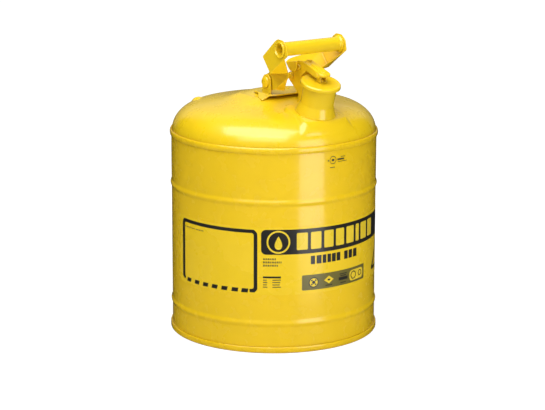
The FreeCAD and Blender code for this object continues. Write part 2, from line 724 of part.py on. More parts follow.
# cross web outline: x, offset from the arm line
CROSS_WEB = [
    (END_X, ARM_UPPER), (END_X, ARM_LOWER), (27.0, -9.5), (16.0, -7.6), (HUB_X, -5.6),
    (HUB_X, 5.0), (-12.0, 7.8), (-7.0, 9.6), (2.0, 11.6), (20.0, 14.2), (36.0, 16.4)]


def handle_arm_right():
    """Right arm with a cross web that ends in a flange beside the cap lever."""
    def web_point(x, off):
        return at(x, *arm_point(WEB_ALONG, off))
    pieces = arm_pieces(1)
    across = at(0, ARM_U, ARM_Z)
    web = Part.Face(polygon([web_point(*p) - across * (ARM_T / 2) for p in CROSS_WEB]))
    pieces.append(web.extrude(across * ARM_T))
    pieces.append(fold(web_point(END_X, 16.6), web_point(END_X, -10.2), ARM_T))
    pieces.append(fold(web_point(HUB_X, -5.2), web_point(HUB_X, 4.8), ARM_T))
    hub = [                          # u, z, corner radius
        (*arm_point(WEB_ALONG, -10.4), 0), (*arm_point(WEB_ALONG, 5.0), 0), (60.5, 397.6, 2),
        (70.0, 398.8, 2), (77.5, 400.2, 1), (79.2, 398.4, 1), (77.8, 388.8, 1.5),
        (71.0, 384.8, 2)]
    pieces.append(arm_plate(hub, HUB_X))
    # fused from the hub outward
    return bored(fused(pieces[::-1]))


def handle_grip():
    """Tube with rolled ends and a bead on each side of the end plates."""
    outer, inner = END_X + ARM_T / 2 + 0.04, END_X - ARM_T / 2 - 0.04
    # one end: r, distance from the middle, corner radius
    end = [(GRIP_BORE, 50.4, 1.5), (9.4, 52.7, 0.4), (10.4, 53.0, 0.6), (11.7, 52.2, 0.8),
           (11.7, outer, 0.4), (GRIP_R, outer, 0), (GRIP_R, inner, 0), (12.3, inner, 0.3),
           (12.3, 47.2, 0.8), (GRIP_R, 45.4, 1.6)]
    grip = revolve_round([(r, -z, corner) for r, z, corner in end] + end[::-1])
    grip.rotate(ORIGIN, vec(0, 1, 0), 90)
    grip.translate(at(0, *GRIP))
    return grip


# ---------------------------------------------------------------- decal
DECAL_R, DECAL_T = BODY_R + 0.03, 0.14
DECAL_LOW, DECAL_HIGH = 84.0, 181.0
DECAL_HALF_ANGLE = 98.0  # to each side of the front


def front_decal():
    outer = DECAL_R + DECAL_T
    ring = revolve([(DECAL_R, DECAL_LOW), (outer, DECAL_LOW), (outer, DECAL_HIGH),
                    (DECAL_R, DECAL_HIGH)])
    low, high = DECAL_LOW - 5, DECAL_HIGH + 5
    section = polygon([radial(0, low), radial(200, low), radial(200, high), radial(0, high)])
    wedge = spin(section, 2 * DECAL_HALF_ANGLE)
    wedge.rotate(ORIGIN, Z_AXIS, -90 - DECAL_HALF_ANGLE)
    return ring.common(wedge)


# ---------------------------------------------------------------- output
# each piece is saved under the name of its function
for build in (side_shell, top_seam, bottom_seam, bottom_pan, dome_top,
              spout_neck, arrester_guard, arrester_gauze, arrester_collar,
              cap_shell, cap_gasket, cap_clevis, cap_rivet, clevis_pin, cap_lever,
              handle_bracket, bracket_eyelets, handle_rivets, pivot_washers,
              lever_post, lever_pin, anchor_pin, closing_spring,
              handle_arm_left, handle_arm_right, handle_grip, front_decal):
    save(build(), build.__name__)
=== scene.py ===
# A round enamelled sheet-metal can with a domed top, a tilted spout with a sprung cap,
# a swinging handle and a printed decal wrapped round its front.
# It stands on z = 0 with its axis on Z. The spout and decal face -Y and the grip lies along X.
# Sizes are in mm unless noted, and meshes are built in metres. "u" is the distance toward the
# front (u = -y). "psi" is the angle round the wall, 0 at the front and growing toward +X.
import json
import math
from collections import Counter
import bpy
import bmesh
import numpy as np
from mathutils import Matrix, Vector, geometry


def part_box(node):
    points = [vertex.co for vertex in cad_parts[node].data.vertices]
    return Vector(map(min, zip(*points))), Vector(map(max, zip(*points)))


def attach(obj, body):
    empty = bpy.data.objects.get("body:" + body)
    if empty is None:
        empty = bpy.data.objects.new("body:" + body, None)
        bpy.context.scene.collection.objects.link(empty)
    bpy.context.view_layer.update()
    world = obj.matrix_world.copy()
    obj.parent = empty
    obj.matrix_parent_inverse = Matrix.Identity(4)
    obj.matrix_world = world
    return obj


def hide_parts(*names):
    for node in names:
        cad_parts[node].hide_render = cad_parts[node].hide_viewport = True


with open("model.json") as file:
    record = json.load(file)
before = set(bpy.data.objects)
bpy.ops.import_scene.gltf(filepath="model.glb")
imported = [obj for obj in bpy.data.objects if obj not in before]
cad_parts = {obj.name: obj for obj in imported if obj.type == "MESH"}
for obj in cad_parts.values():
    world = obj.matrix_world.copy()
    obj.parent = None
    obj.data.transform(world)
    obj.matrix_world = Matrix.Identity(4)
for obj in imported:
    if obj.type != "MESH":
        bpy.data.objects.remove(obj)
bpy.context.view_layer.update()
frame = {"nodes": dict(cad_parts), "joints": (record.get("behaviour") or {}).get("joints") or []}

scene = bpy.context.scene
MM = 0.001

# ------------------------------------------------------------------ driving sizes
WALL_RADIUS = 146.66
WALL_SEAT = WALL_RADIUS + 0.05      # where the seam rolls meet the wall
SHEET = 0.8
RIB_HEIGHTS = (42.2, 214.5)
RIB_RISE, RIB_WIDTH = 1.5, 6.0
CAP_U, CAP_Z = 115.6, 375.3         # middle of the cap's upper face
TILT = math.radians(15.5)           # the spout leans to the front
TILT_COS, TILT_SIN, TILT_TAN = math.cos(TILT), math.sin(TILT), math.tan(TILT)
PAD_DEPTH = 46.0                    # from the cap's upper face down to the spout pad
PAD_U = CAP_U - PAD_DEPTH * TILT_SIN
PAD_Z = CAP_Z - PAD_DEPTH * TILT_COS
PAD_LIFT = 0.05
PIN_RADIUS = 2.2                    # shank of the spring's anchor pin
LEVER_AXIS = [1000 * v for j in frame["joints"] if j["name"] == "lid_open" for v in j["pos_m"]]

WALL_SEGMENTS = 480
DOME_SEGMENTS = 840
DOME_RINGS = 150
SPOUT_SEGMENTS = 192
PIN_SEGMENTS = 64


def centre(node_name):
    """middle of a CAD piece, mm"""
    lo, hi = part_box(node_name)
    return [500 * (lo[i] + hi[i]) for i in range(3)]


# ------------------------------------------------------------------ mesh helpers
def finish(name, mesh, material, body, nodes=(), sharp=40.0, weld=False):
    """shade the mesh smooth up to an angle of `sharp` degrees and register its object"""
    bm = bmesh.new()
    bm.from_mesh(mesh)
    if weld:
        bmesh.ops.remove_doubles(bm, verts=bm.verts, dist=1e-7)
        empty = [face for face in bm.faces if face.calc_area() < 1e-14]
        bmesh.ops.delete(bm, geom=empty, context="FACES")
    bmesh.ops.recalc_face_normals(bm, faces=bm.faces)
    limit = math.radians(sharp)
    for face in bm.faces:
        face.smooth = True
    for edge in bm.edges:
        edge.smooth = not (len(edge.link_faces) == 2 and edge.calc_face_angle(0.0) > limit)
    bm.to_mesh(mesh)
    bm.free()
    obj = bpy.data.objects.new(name, mesh)
    scene.collection.objects.link(obj)
    mesh.materials.clear()
    mesh.materials.append(material)
    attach(obj, body)
    if nodes:
        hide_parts(*nodes)
    return obj


def quad_mesh(name, vertices, quads):
    """mesh from arrays of vertices (m) and four-sided faces"""
    mesh = bpy.data.meshes.new(name)
    vertices = np.asarray(vertices, np.float32).reshape(-1, 3)
    quads = np.asarray(quads, np.int32)
    mesh.vertices.add(len(vertices))
    mesh.vertices.foreach_set("co", vertices.ravel())
    mesh.loops.add(quads.size)
    mesh.loops.foreach_set("vertex_index", quads.ravel())
    mesh.polygons.add(len(quads))
    mesh.polygons.foreach_set("loop_start", np.arange(0, quads.size, 4, dtype=np.int32))
    mesh.update(calc_edges=True)
    mesh.validate()
    return mesh


def apply_modifiers(mesh, name, *modifiers):
    """new mesh after the (type, settings) modifiers have acted on a temporary object"""
    temp = bpy.data.objects.new("tmp_" + name, mesh)
    scene.collection.objects.link(temp)
    for kind, settings in modifiers:
        modifier = temp.modifiers.new(kind.lower(), kind)
        for key, value in settings.items():
            setattr(modifier, key, value)
    bpy.context.view_layer.update()
    evaluated = temp.evaluated_get(bpy.context.evaluated_depsgraph_get())
    result = bpy.data.meshes.new_from_object(evaluated)
    bpy.data.objects.remove(temp)
    result.name = name
    return result


def rounded(points, radii, segments=5):
    """closed 2-D outline with each corner turned to its own radius"""
    outline = []
    for i, corner in enumerate(points):
        before, after, radius = points[i - 1], points[(i + 1) % len(points)], radii[i]
        if radius <= 0:
            outline.append(corner)
            continue
        back = (before[0] - corner[0], before[1] - corner[1])
        ahead = (after[0] - corner[0], after[1] - corner[1])
        back_len, ahead_len = math.hypot(*back), math.hypot(*ahead)
        back = (back[0] / back_len, back[1] / back_len)
        ahead = (ahead[0] / ahead_len, ahead[1] / ahead_len)
        cosine = max(-1.0, min(1.0, back[0] * ahead[0] + back[1] * ahead[1]))
        half = math.acos(cosine) / 2
        cut = min(radius / math.tan(half), 0.49 * back_len, 0.49 * ahead_len)
        radius = cut * math.tan(half)
        mid_x, mid_y = back[0] + ahead[0], back[1] + ahead[1]
        mid_len = math.hypot(mid_x, mid_y)
        x = corner[0] + mid_x / mid_len * radius / math.sin(half)
        y = corner[1] + mid_y / mid_len * radius / math.sin(half)
        start = math.atan2(corner[1] + back[1] * cut - y, corner[0] + back[0] * cut - x)
        end = math.atan2(corner[1] + ahead[1] * cut - y, corner[0] + ahead[0] * cut - x)
        turn = (end - start + math.pi) % (2 * math.pi) - math.pi
        for k in range(segments + 1):
            angle = start + turn * k / segments
            outline.append((x + radius * math.cos(angle), y + radius * math.sin(angle)))
    return outline


def dense(points, step):
    """closed outline with its long sides divided"""
    outline = []
    for i, p in enumerate(points):
        q = points[(i + 1) % len(points)]
        parts = max(1, int(math.hypot(q[0] - p[0], q[1] - p[1]) / step))
        for k in range(parts):
            outline.append((p[0] + (q[0] - p[0]) * k / parts, p[1] + (q[1] - p[1]) * k / parts))
    return outline


def lathe(profile, segments, shape=None):
    """closed (r, z) outline turned about Z, from angle 0 at -Y, as vertices (m) and quads;
    shape(angle, r, z) may return a changed (r, z)"""
    profile = np.array(profile, float)
    count = len(profile)
    angles = np.linspace(0, 2 * math.pi, segments, endpoint=False)
    angle, index = np.meshgrid(angles, np.arange(count), indexing="ij")
    r, z = profile[index, 0], profile[index, 1]
    if shape:
        r, z = shape(angle, r, z)
    vertices = np.stack([r * np.sin(angle), -r * np.cos(angle), z], -1).reshape(-1, 3) * MM
    i = np.arange(segments)[:, None]
    j = np.arange(count)[None, :]
    next_i, next_j = (i + 1) % segments, (j + 1) % count
    quads = np.stack([i * count + j, next_i * count + j,
                      next_i * count + next_j, i * count + next_j], -1)
    return vertices, quads.reshape(-1, 4)


def turned(name, node_name, profile, material, body, segments,
           shape=None, place=None, weld=False):
    """a lathed piece in place of one CAD piece; place() moves its vertices into the can's frame"""
    vertices, quads = lathe(profile, segments, shape)
    if place:
        vertices = place(vertices)
    finish(name, quad_mesh(name, vertices, quads), material, body, [node_name], weld=weld)


def to_spout(vertices):
    """spout frame (m), with its origin at the cap's upper face, to the can's frame"""
    x, y, z = vertices[:, 0], vertices[:, 1], vertices[:, 2]
    return np.stack([x, TILT_COS * y - TILT_SIN * z - CAP_U * MM,
                     TILT_SIN * y + TILT_COS * z + CAP_Z * MM], -1)


def spline(points, samples):
    """natural cubic spline through 2-D points, with chord length as parameter"""
    points = np.array(points, float)
    knots = np.concatenate([[0], np.cumsum(np.hypot(*np.diff(points, axis=0).T))])
    count = len(knots)
    gaps = np.diff(knots)
    system = np.zeros((count, count))
    known = np.zeros((count, 2))
    system[0, 0] = system[-1, -1] = 1
    for i in range(1, count - 1):
        system[i, i - 1:i + 2] = gaps[i - 1], 2 * (gaps[i - 1] + gaps[i]), gaps[i]
        known[i] = 3 * ((points[i + 1] - points[i]) / gaps[i]
                        - (points[i] - points[i - 1]) / gaps[i - 1])
    square = np.linalg.solve(system, known)
    at = np.linspace(0, knots[-1], samples)
    k = np.clip(np.searchsorted(knots, at, side="right") - 1, 0, count - 2)
    d = (at - knots[k])[:, None]
    gap = gaps[k][:, None]
    slope = (points[k + 1] - points[k]) / gap - gap * (2 * square[k] + square[k + 1]) / 3
    return (points[k] + slope * d + square[k] * d ** 2
            + (square[k + 1] - square[k]) / (3 * gap) * d ** 3)


# ------------------------------------------------------------------ wall surface
def wave(psi, z):
    """shallow waves left in the wall by rolling"""
    return (0.045 * np.sin(2 * psi + 0.9) + 0.035 * np.sin(3 * psi - 0.6 + z * 0.011)
            + 0.022 * np.sin(7 * psi + 1.7 - z * 0.023) + 0.014 * np.sin(13 * psi + z * 0.041))


def upper_swell(z):
    """the wall above the upper rib is slightly wider"""
    return 0.2 * np.clip((z - 218.0) / 6.0, 0, 1)


def wall_radius(psi, z):
    r = WALL_RADIUS + wave(psi, z)
    for rib in RIB_HEIGHTS:
        t = np.clip(np.abs(z - rib) / (RIB_WIDTH * 0.92), 0, 1)
        r = r + (RIB_RISE + 0.15) * (0.5 + 0.5 * np.cos(math.pi * t)) ** 0.85
    return r + upper_swell(z)


# ------------------------------------------------------------------ shader helpers
class Shader:
    """node tree of a material or world, with short calls for the nodes used most"""

    def __init__(self, owner):
        owner.use_nodes = True
        self.tree = owner.node_tree

    def feed(self, node, inputs):
        """link sockets and set plain values; an RGB tuple gets an alpha of 1"""
        for key, value in inputs.items():
            socket = node.inputs[key]
            if isinstance(value, bpy.types.NodeSocket):
                self.tree.links.new(value, socket)
            elif socket.type == "RGBA":
                socket.default_value = (*value, 1.0)
            else:
                socket.default_value = value

    def node(self, kind, inputs, **settings):
        node = self.tree.nodes.new("ShaderNode" + kind)
        for key, value in settings.items():
            setattr(node, key, value)
        self.feed(node, inputs)
        return node

    def noise(self, coords, scale, detail=3.0):
        inputs = {"Scale": scale, "Detail": detail, "Vector": coords}
        return self.node("TexNoise", inputs).outputs["Fac"]

    def ramp(self, value, span, to=(0.0, 1.0)):
        """map the range `span` to the range `to`, clamped"""
        inputs = {"From Min": span[0], "From Max": span[1],
                  "To Min": to[0], "To Max": to[1], "Value": value}
        return self.node("MapRange", inputs).outputs["Result"]

    def mix(self, factor, first, second):
        """colour mix; its sockets are told apart by type, as their names repeat"""
        node = self.node("Mix", {}, data_type="RGBA")
        number = [i for i, s in enumerate(node.inputs) if s.type == "VALUE"][0]
        colours = [i for i, s in enumerate(node.inputs) if s.type == "RGBA"]
        self.feed(node, {number: factor, colours[0]: first, colours[1]: second})
        return [s for s in node.outputs if s.type == "RGBA"][0]

    def math(self, operation, a, b=0.0):
        return self.node("Math", {0: a, 1: b}, operation=operation).outputs[0]

    def bump(self, height, strength, distance):
        inputs = {"Strength": strength, "Distance": distance, "Height": height}
        return self.node("Bump", inputs).outputs["Normal"]

    def surface(self, inputs):
        self.feed(self.tree.nodes["Principled BSDF"], inputs)


def new_material(name):
    """material, its shader and its object coordinates"""
    material = bpy.data.materials.new(name)
    shader = Shader(material)
    return material, shader, shader.node("TexCoord", {}).outputs["Object"]


def tint(colour, gain, lift=0.0):
    return tuple(min(1.0, c * gain + lift) for c in colour)


# ------------------------------------------------------------------ materials
def enamel(name, base, peel, painted_shade_amount, rough=0.26, coat_rough=0.09):
    """baked enamel: uneven film, painted shade in creases, with orange peel and dust specks"""
    material, shader, coords = new_material(name)
    broad = shader.noise(coords, scale=9.0, detail=2.0)
    medium = shader.noise(coords, scale=55.0, detail=4.0)
    fine = shader.noise(coords, scale=420.0, detail=2.0)
    colour = shader.mix(shader.ramp(broad, span=(0.35, 0.65)),
                        tint(base, gain=0.982), tint(base, gain=1.02, lift=0.002))
    blotch = shader.ramp(medium, span=(0.45, 0.80), to=(0.0, 0.14))
    colour = shader.mix(blotch, colour, tint(base, gain=0.970))
    # painted shade: the colour is darkened in creases, where ambient occlusion is low
    occlusion = shader.node("AmbientOcclusion", {"Distance": 0.009}, samples=6)
    painted_shade_mask = shader.ramp(occlusion.outputs["AO"], span=(0.86, 0.30), to=(0.0, painted_shade_amount))
    painted_shade_colour = (base[0] * 0.58, base[1] * 0.50, base[2] * 0.3)
    colour = shader.mix(painted_shade_mask, colour, painted_shade_colour)
    # faint dark specks, in patches
    cells = shader.node("TexVoronoi", {"Scale": 210.0, "Vector": coords}).outputs["Distance"]
    speck = shader.math("MULTIPLY", shader.ramp(cells, span=(0.085, 0.05)),
                        shader.ramp(medium, span=(0.60, 0.66)))
    speck_colour = (base[0] * 0.45, base[1] * 0.42, base[2] + 0.02)
    speck_strength = 0.10
    colour = shader.mix(shader.math("MULTIPLY", speck, speck_strength), colour, speck_colour)
    # orange peel over slower waviness
    fine_share, slow_share = 0.10 * peel, 0.35 * peel
    slow = shader.noise(coords, scale=130.0, detail=2.0)
    height = shader.math("ADD", shader.math("MULTIPLY", fine, fine_share),
                         shader.math("MULTIPLY", slow, slow_share))
    normal = shader.bump(height, strength=0.16, distance=0.0006)
    shader.surface({
        "Base Color": colour,
        "Roughness": shader.ramp(medium, span=(0.3, 0.7), to=(rough - 0.02, rough + 0.03)),
        "Specular IOR Level": 0.5,
        "Coat Weight": 0.75,
        "Coat IOR": 1.5,
        "Coat Roughness": shader.ramp(broad, span=(0.3, 0.7), to=(coat_rough, coat_rough + 0.025)),
        "Normal": normal,
        "Coat Normal": normal})
    return material


def metal(name, base, rough, wear):
    """bare metal with fine streaks and dull blots"""
    material, shader, coords = new_material(name)
    stretched = shader.node("Mapping", {"Scale": (1.0, 6.0, 1.0), "Vector": coords})
    streak = shader.noise(stretched.outputs["Vector"], scale=260.0)
    blot = shader.noise(coords, scale=90.0, detail=4.0)
    shader.surface({
        "Base Color": shader.mix(shader.ramp(blot, span=(0.35, 0.7), to=(0.0, wear)),
                                 base, tint(base, gain=0.45)),
        "Metallic": 1.0,
        "Roughness": shader.ramp(streak, span=(0.3, 0.7), to=(rough - 0.07, rough + 0.12)),
        "Normal": shader.bump(streak, strength=0.25, distance=0.0002)})
    return material


def woven(name):
    """fine woven wire: waves round the spout crossed with waves in height"""
    waves_round, waves_up = 110.0, 6200.0       # per radian, and per metre in radians
    material, shader, coords = new_material(name)
    x, y, z = shader.node("SeparateXYZ", {0: coords}).outputs
    angle = shader.math("ARCTAN2", x, shader.math("ADD", y, CAP_U * MM))
    around = shader.math("SINE", shader.math("MULTIPLY", angle, waves_round))
    upward = shader.math("SINE", shader.math("MULTIPLY", z, waves_up))
    weave = shader.math("MULTIPLY", around, upward)
    gap_colour, wire_colour = (0.10, 0.095, 0.08), (0.50, 0.47, 0.40)
    shader.surface({
        "Base Color": shader.mix(shader.ramp(weave, span=(-0.4, 0.6)), gap_colour, wire_colour),
        "Metallic": 0.9,
        "Roughness": 0.42,
        "Normal": shader.bump(weave, strength=0.8, distance=0.0004)})
    return material


def film(name, base, rough, vary):
    """printed film: slightly uneven ink with a fine grain"""
    material, shader, coords = new_material(name)
    broad = shader.noise(coords, scale=24.0)
    fine = shader.noise(coords, scale=900.0, detail=2.0)
    colour = shader.mix(shader.ramp(broad, span=(0.35, 0.65)),
                        tint(base, gain=1 - vary), tint(base, gain=1 + vary))
    grain = shader.ramp(fine, span=(0.55, 0.8), to=(0.0, 0.25))
    shader.surface({
        "Base Color": shader.mix(grain, colour, tint(base, gain=1.25, lift=0.006)),
        "Roughness": shader.ramp(broad, span=(0.3, 0.7), to=(rough - 0.05, rough + 0.08)),
        "Coat Weight": 0.4,
        "Coat Roughness": 0.16,
        "Normal": shader.bump(fine, strength=0.10, distance=0.0003)})
    return material


def rubber(name):
    material, shader, coords = new_material(name)
    grain = shader.noise(coords, scale=700.0)
    dark, pale = (0.018, 0.018, 0.018), (0.045, 0.044, 0.042)
    shader.surface({
        "Base Color": shader.mix(shader.ramp(grain, span=(0.3, 0.7)), dark, pale),
        "Roughness": 0.62,
        "Normal": shader.bump(grain, strength=0.3, distance=0.0003)})
    return material


YELLOW = (0.930, 0.610, 0.006)
DOME_YELLOW = (0.930, 0.630, 0.006)
PART_YELLOW = (0.930, 0.635, 0.010)
# each enamel's crease setting is how strongly painted shade darkens its creases
WALL_ENAMEL = enamel("enamel_wall", YELLOW, peel=0.07, painted_shade_amount=0.60)
DOME_ENAMEL = enamel("enamel_dome", DOME_YELLOW, peel=0.02, painted_shade_amount=0.40, rough=0.28,
                     coat_rough=0.13)
SEAM_ENAMEL = enamel("enamel_seam", YELLOW, peel=0.15, painted_shade_amount=0.70, coat_rough=0.06)
PART_ENAMEL = enamel("enamel_fittings", PART_YELLOW, peel=0.30, painted_shade_amount=0.70, rough=0.24,
                     coat_rough=0.08)
GRIP_ENAMEL = enamel("enamel_grip", PART_YELLOW, peel=0.30, painted_shade_amount=0.45, rough=0.24)
DECAL_FILM = film("decal_film_yellow", (0.935, 0.635, 0.010), rough=0.26, vary=0.012)
BLACK_INK = film("decal_ink_black", (0.022, 0.021, 0.018), rough=0.34, vary=0.15)
YELLOW_INK = film("decal_ink_yellow", (0.90, 0.650, 0.030), rough=0.28, vary=0.03)
OLIVE_INK = film("decal_ink_olive", (0.170, 0.145, 0.030), rough=0.36, vary=0.08)
FINE_INK = film("decal_ink_fine", (0.20, 0.155, 0.020), rough=0.40, vary=0.10)
ZINC = metal("zinc_plate", (0.60, 0.60, 0.57), rough=0.34, wear=0.3)
GUARD_STEEL = metal("guard_steel", (0.52, 0.51, 0.48), rough=0.38, wear=0.4)
SPRING_WIRE = metal("spring_wire", (0.40, 0.38, 0.34), rough=0.30, wear=0.3)
GAUZE = woven("gauze_weave")
RUBBER = rubber("gasket_rubber")


# ------------------------------------------------------------------ can body
def side_wall():
    """ribbed wall sheet; the steps in height are fine across the ribs"""
    outer_mark, inner_mark = 0, -1      # stand-ins for the radius, which wall_shape fills in
    heights = np.concatenate([np.arange(2.0, 34, 4), np.arange(34, 51, 0.55),
                              np.arange(51, 206, 5), np.arange(206, 226, 0.55),
                              np.arange(226, 290, 5), [290.1]])
    outer = [(outer_mark, z) for z in heights]
    inner = [(inner_mark, z) for z in reversed(heights)]

    def wall_shape(angle, mark, z):
        psi = np.where(angle > math.pi, angle - 2 * math.pi, angle)
        r = wall_radius(psi, z)
        return np.where(mark < -0.5, r - SHEET, r), z

    turned("side_wall", "side_shell", outer + inner, WALL_ENAMEL, "can", WALL_SEGMENTS,
           shape=wall_shape)


def top_seam():
    """bulging roll between wall and dome, slightly wavy in height"""
    profile = [(WALL_SEAT, 283.3), (147.3, 283.3)]                      # (r, z)
    profile += [(147.0 + 2.0 * math.cos(t), 287.9 + (4.4 if t > 0 else 4.6) * math.sin(t))
                for t in np.linspace(-1.42, 1.42, 22)]
    profile += [(146.9, 292.3), (146.2, 291.6), (145.95, 290.2), (WALL_SEAT, 290.2)]

    def waver(angle, r, z):
        height, phase = 0.04, 0.3
        rise = height * (np.sin(5 * angle + phase) + 0.6 * np.sin(11 * angle + 2 * phase)
                         + 0.4 * np.sin(23 * angle))
        return r, z + rise

    turned("top_seam_roll", "top_seam", dense(profile, 1.2), SEAM_ENAMEL, "can", WALL_SEGMENTS,
           shape=waver)


def bottom_seam():
    corners = [(WALL_SEAT, 1.9), (WALL_SEAT, 8.6), (148.6, 8.6), (149.3, 6.9), (149.3, 0.0),
               (143.9, 0.0), (143.9, 7.2), (144.95, 7.2), (144.95, 1.9)]    # (r, z)
    radii = [0, 0.5, 1.0, 1.8, 1.9, 1.7, 0.45, 0.45, 0]
    turned("bottom_seam_roll", "bottom_seam", dense(rounded(corners, radii, 7), 1.5),
           SEAM_ENAMEL, "can", WALL_SEGMENTS)


def bottom_panel():
    corners = [(0.0, 9.0), (136.0, 9.0), (140.5, 12.2), (143.2, 12.2), (145.0, 10.2),
               (145.0, 2.0), (145.8, 2.0), (145.8, 13.0), (139.9, 13.0), (135.6, 9.8),
               (0.0, 9.8)]                                                  # (r, z)
    radii = [0, 3, 2, 1.2, 1.2, 0, 0, 1.6, 2, 3, 0]

    def pressed_rings(angle, r, z):
        rise = sum(0.9 * np.exp(-((r - ring) / 3.2) ** 2) for ring in (96.0, 52.0))
        return r, z + np.where(z < 10.5, rise, 0)

    turned("bottom_panel", "bottom_pan", dense(rounded(corners, radii), 2.0), WALL_ENAMEL,
           "can", WALL_SEGMENTS, shape=pressed_rings, weld=True)


side_wall()
top_seam()
bottom_seam()
bottom_panel()

# ------------------------------------------------------------------ domed top
# plain dome outline (r, z): an elliptical shoulder, then points up to the crown
DOME = [(98.0 + 47.9 * math.cos(t), 290.0 + 39.2 * math.sin(t))
        for t in np.linspace(0.0665, 1.2524, 13)]
DOME += [(105.0, 329.15), (97.0, 330.7), (88.0, 332.2), (75.0, 334.6), (60.0, 338.1),
         (45.0, 341.9), (30.0, 345.4), (15.0, 346.3), (0.0, 346.38)]
DOME_LIP = [(145.8, 284.0), (145.8, 288.0), (145.8, 291.4)]     # (r, z) inside the top seam
HOLE_CUT, HOLE_RADIUS = 23.4, 23.6      # faces within the first go; the rim moves to the second
HOLE_SEARCH = 27.0


def smooth_max(a, b, softness):
    return 0.5 * (a + b + np.sqrt((a - b) ** 2 + softness * softness))


def box_distance(x, y, half_x, half_y, corner):
    """signed distance from a rounded rectangle"""
    dx, dy = np.abs(x) - (half_x - corner), np.abs(y) - (half_y - corner)
    outside = np.hypot(np.maximum(dx, 0), np.maximum(dy, 0))
    return outside + np.minimum(np.maximum(dx, dy), 0) - corner


def dome_height(x, u, z):
    """height of the sheet at (x, u), from the plain dome height z"""
    # saddle under the handle bracket
    away = np.maximum(box_distance(x, u - 1.0, half_x=45.0, half_y=34.0, corner=17.0), 0)
    z = smooth_max(z, 342.9 - 0.29 * away - 0.005 * away ** 2, softness=0.9)
    # tilted pad under the spout; its flank is gentler toward the two front corners
    along = (u - PAD_U) / TILT_COS
    away = np.maximum(box_distance(x, along - 2.0, half_x=35.0, half_y=33.0, corner=14.0), 0)
    reach = np.hypot(x, along) + 1e-6
    left = np.clip((-0.66 * x + 0.75 * along) / reach, 0, 1) ** 7
    right = np.clip((0.66 * x + 0.75 * along) / reach, 0, 1) ** 7
    pad = (PAD_Z + PAD_LIFT - (u - PAD_U) * TILT_TAN
           - (1.35 - 0.72 * left - 0.5 * right) * away - 0.03 * away ** 2)
    z = smooth_max(z, pad, softness=0.45)
    # small round stop pressed out near the rear left of the rim
    radius = 11.0
    away = np.hypot(x + 70.7, u + 90.0)
    stop = (318.3 + np.sqrt(np.maximum(radius ** 2 - away ** 2, 0.0))
            - np.maximum(away - radius, 0) * 3)
    return smooth_max(z, stop, softness=0.8)


def dome_grid():
    """vertices (mm) of the dome ring by ring, then its crown, and the number of rings"""
    rings = np.vstack([DOME_LIP, spline(DOME, DOME_RINGS)])[:-1]
    angles = np.linspace(0, 2 * math.pi, DOME_SEGMENTS, endpoint=False)
    angle, ring = np.meshgrid(angles, np.arange(len(rings)), indexing="ij")
    r, plain = rings[ring, 0], rings[ring, 1]
    x, u = r * np.sin(angle), r * np.cos(angle)
    pressed = np.where(r < 141.0, dome_height(x, u, plain), plain)
    # the pressed shapes and a faint unevenness fade out at the shoulder
    fade = np.clip((143.0 - r) / 12.0, 0, 1)
    z = plain + (pressed - plain) * fade
    z = z + fade * (0.10 * np.sin(3 * angle + 0.4) * np.sin(r / 31.0)
                    + 0.05 * np.sin(5 * angle - r / 17.0))
    z = np.where(ring < len(DOME_LIP), plain, z)
    vertices = np.stack([x, -u, z], -1).reshape(-1, 3)
    return np.vstack([vertices, [0, 0, float(z[:, -1].mean())]]), len(rings)


def open_hole(vertices, quads):
    """remove the quads inside the spout and snap the rim to a clean circle on the pad"""
    reach = np.hypot(vertices[:, 0], (vertices[:, 1] + PAD_U) / TILT_COS)
    quads = quads[~(reach < HOLE_CUT)[quads].any(axis=1)].tolist()
    uses = Counter((min(a, b), max(a, b)) for quad in quads
                   for a, b in zip(quad, quad[1:] + quad[:1]))
    rim = {k for edge, count in uses.items()
           if count == 1 and max(reach[edge[0]], reach[edge[1]]) < HOLE_SEARCH for k in edge}
    for k in rim:
        scale = HOLE_RADIUS / reach[k]
        vertices[k, 0] *= scale
        vertices[k, 1] = -PAD_U + (vertices[k, 1] + PAD_U) * scale
        vertices[k, 2] = PAD_Z + PAD_LIFT + (vertices[k, 1] + PAD_U) * TILT_TAN
    return quads


def dome_top():
    vertices, count = dome_grid()
    i = np.arange(DOME_SEGMENTS)[:, None]
    j = np.arange(count - 1)[None, :]
    here, beside = i * count + j, (i + 1) % DOME_SEGMENTS * count + j
    quads = open_hole(vertices, np.stack([here, beside, beside + 1, here + 1], -1).reshape(-1, 4))
    bm = bmesh.new()
    points = [bm.verts.new(Vector(p) * MM) for p in vertices]
    for quad in quads:
        bm.faces.new([points[k] for k in quad])
    for k in range(DOME_SEGMENTS):
        beside = (k + 1) % DOME_SEGMENTS
        bm.faces.new([points[k * count + count - 1], points[beside * count + count - 1],
                      points[-1]])
    loose = [v for v in bm.verts if not v.link_faces]
    bmesh.ops.delete(bm, geom=loose, context="VERTS")
    bmesh.ops.recalc_face_normals(bm, faces=bm.faces)
    mesh = bpy.data.meshes.new("dome_sheet")
    bm.to_mesh(mesh)
    bm.free()
    mesh = apply_modifiers(mesh, "dome_top_sheet",
                           ("SOLIDIFY", {"thickness": SHEET * MM, "offset": -1.0}))
    dome = finish("dome_top_sheet", mesh, DOME_ENAMEL, "can", ["dome_top"], sharp=50)
    # the normals of the thin sheet must point outward at the crown
    crown = max(dome.data.polygons, key=lambda p: p.center.z)
    if crown.normal.z < 0:
        dome.data.flip_normals()


dome_top()


# ------------------------------------------------------------------ spout, cap
def spout_neck():
    foot = -45.97
    profile = rounded([(23.3, -6.9), (25.3, -6.0), (25.3, -3.45), (22.3, -3.45), (22.3, foot)],
                      [1.2, 0.9, 1.2, 0.6, 0.2], 7)                         # (r, z)
    profile += [(28.5, foot), (28.7, foot + 0.55), (28.2, foot + 0.90)]
    # hollow fillet from the foot flange to the tube
    profile += [(25.9 - 2.6 * math.sin(t), foot + 3.8 - 2.9 * math.cos(t))
                for t in np.linspace(0.02, 1.5, 12)]
    turned("neck_tube", "spout_neck", dense(profile, 1.6), PART_ENAMEL, "can", SPOUT_SEGMENTS,
           place=to_spout, weld=True)


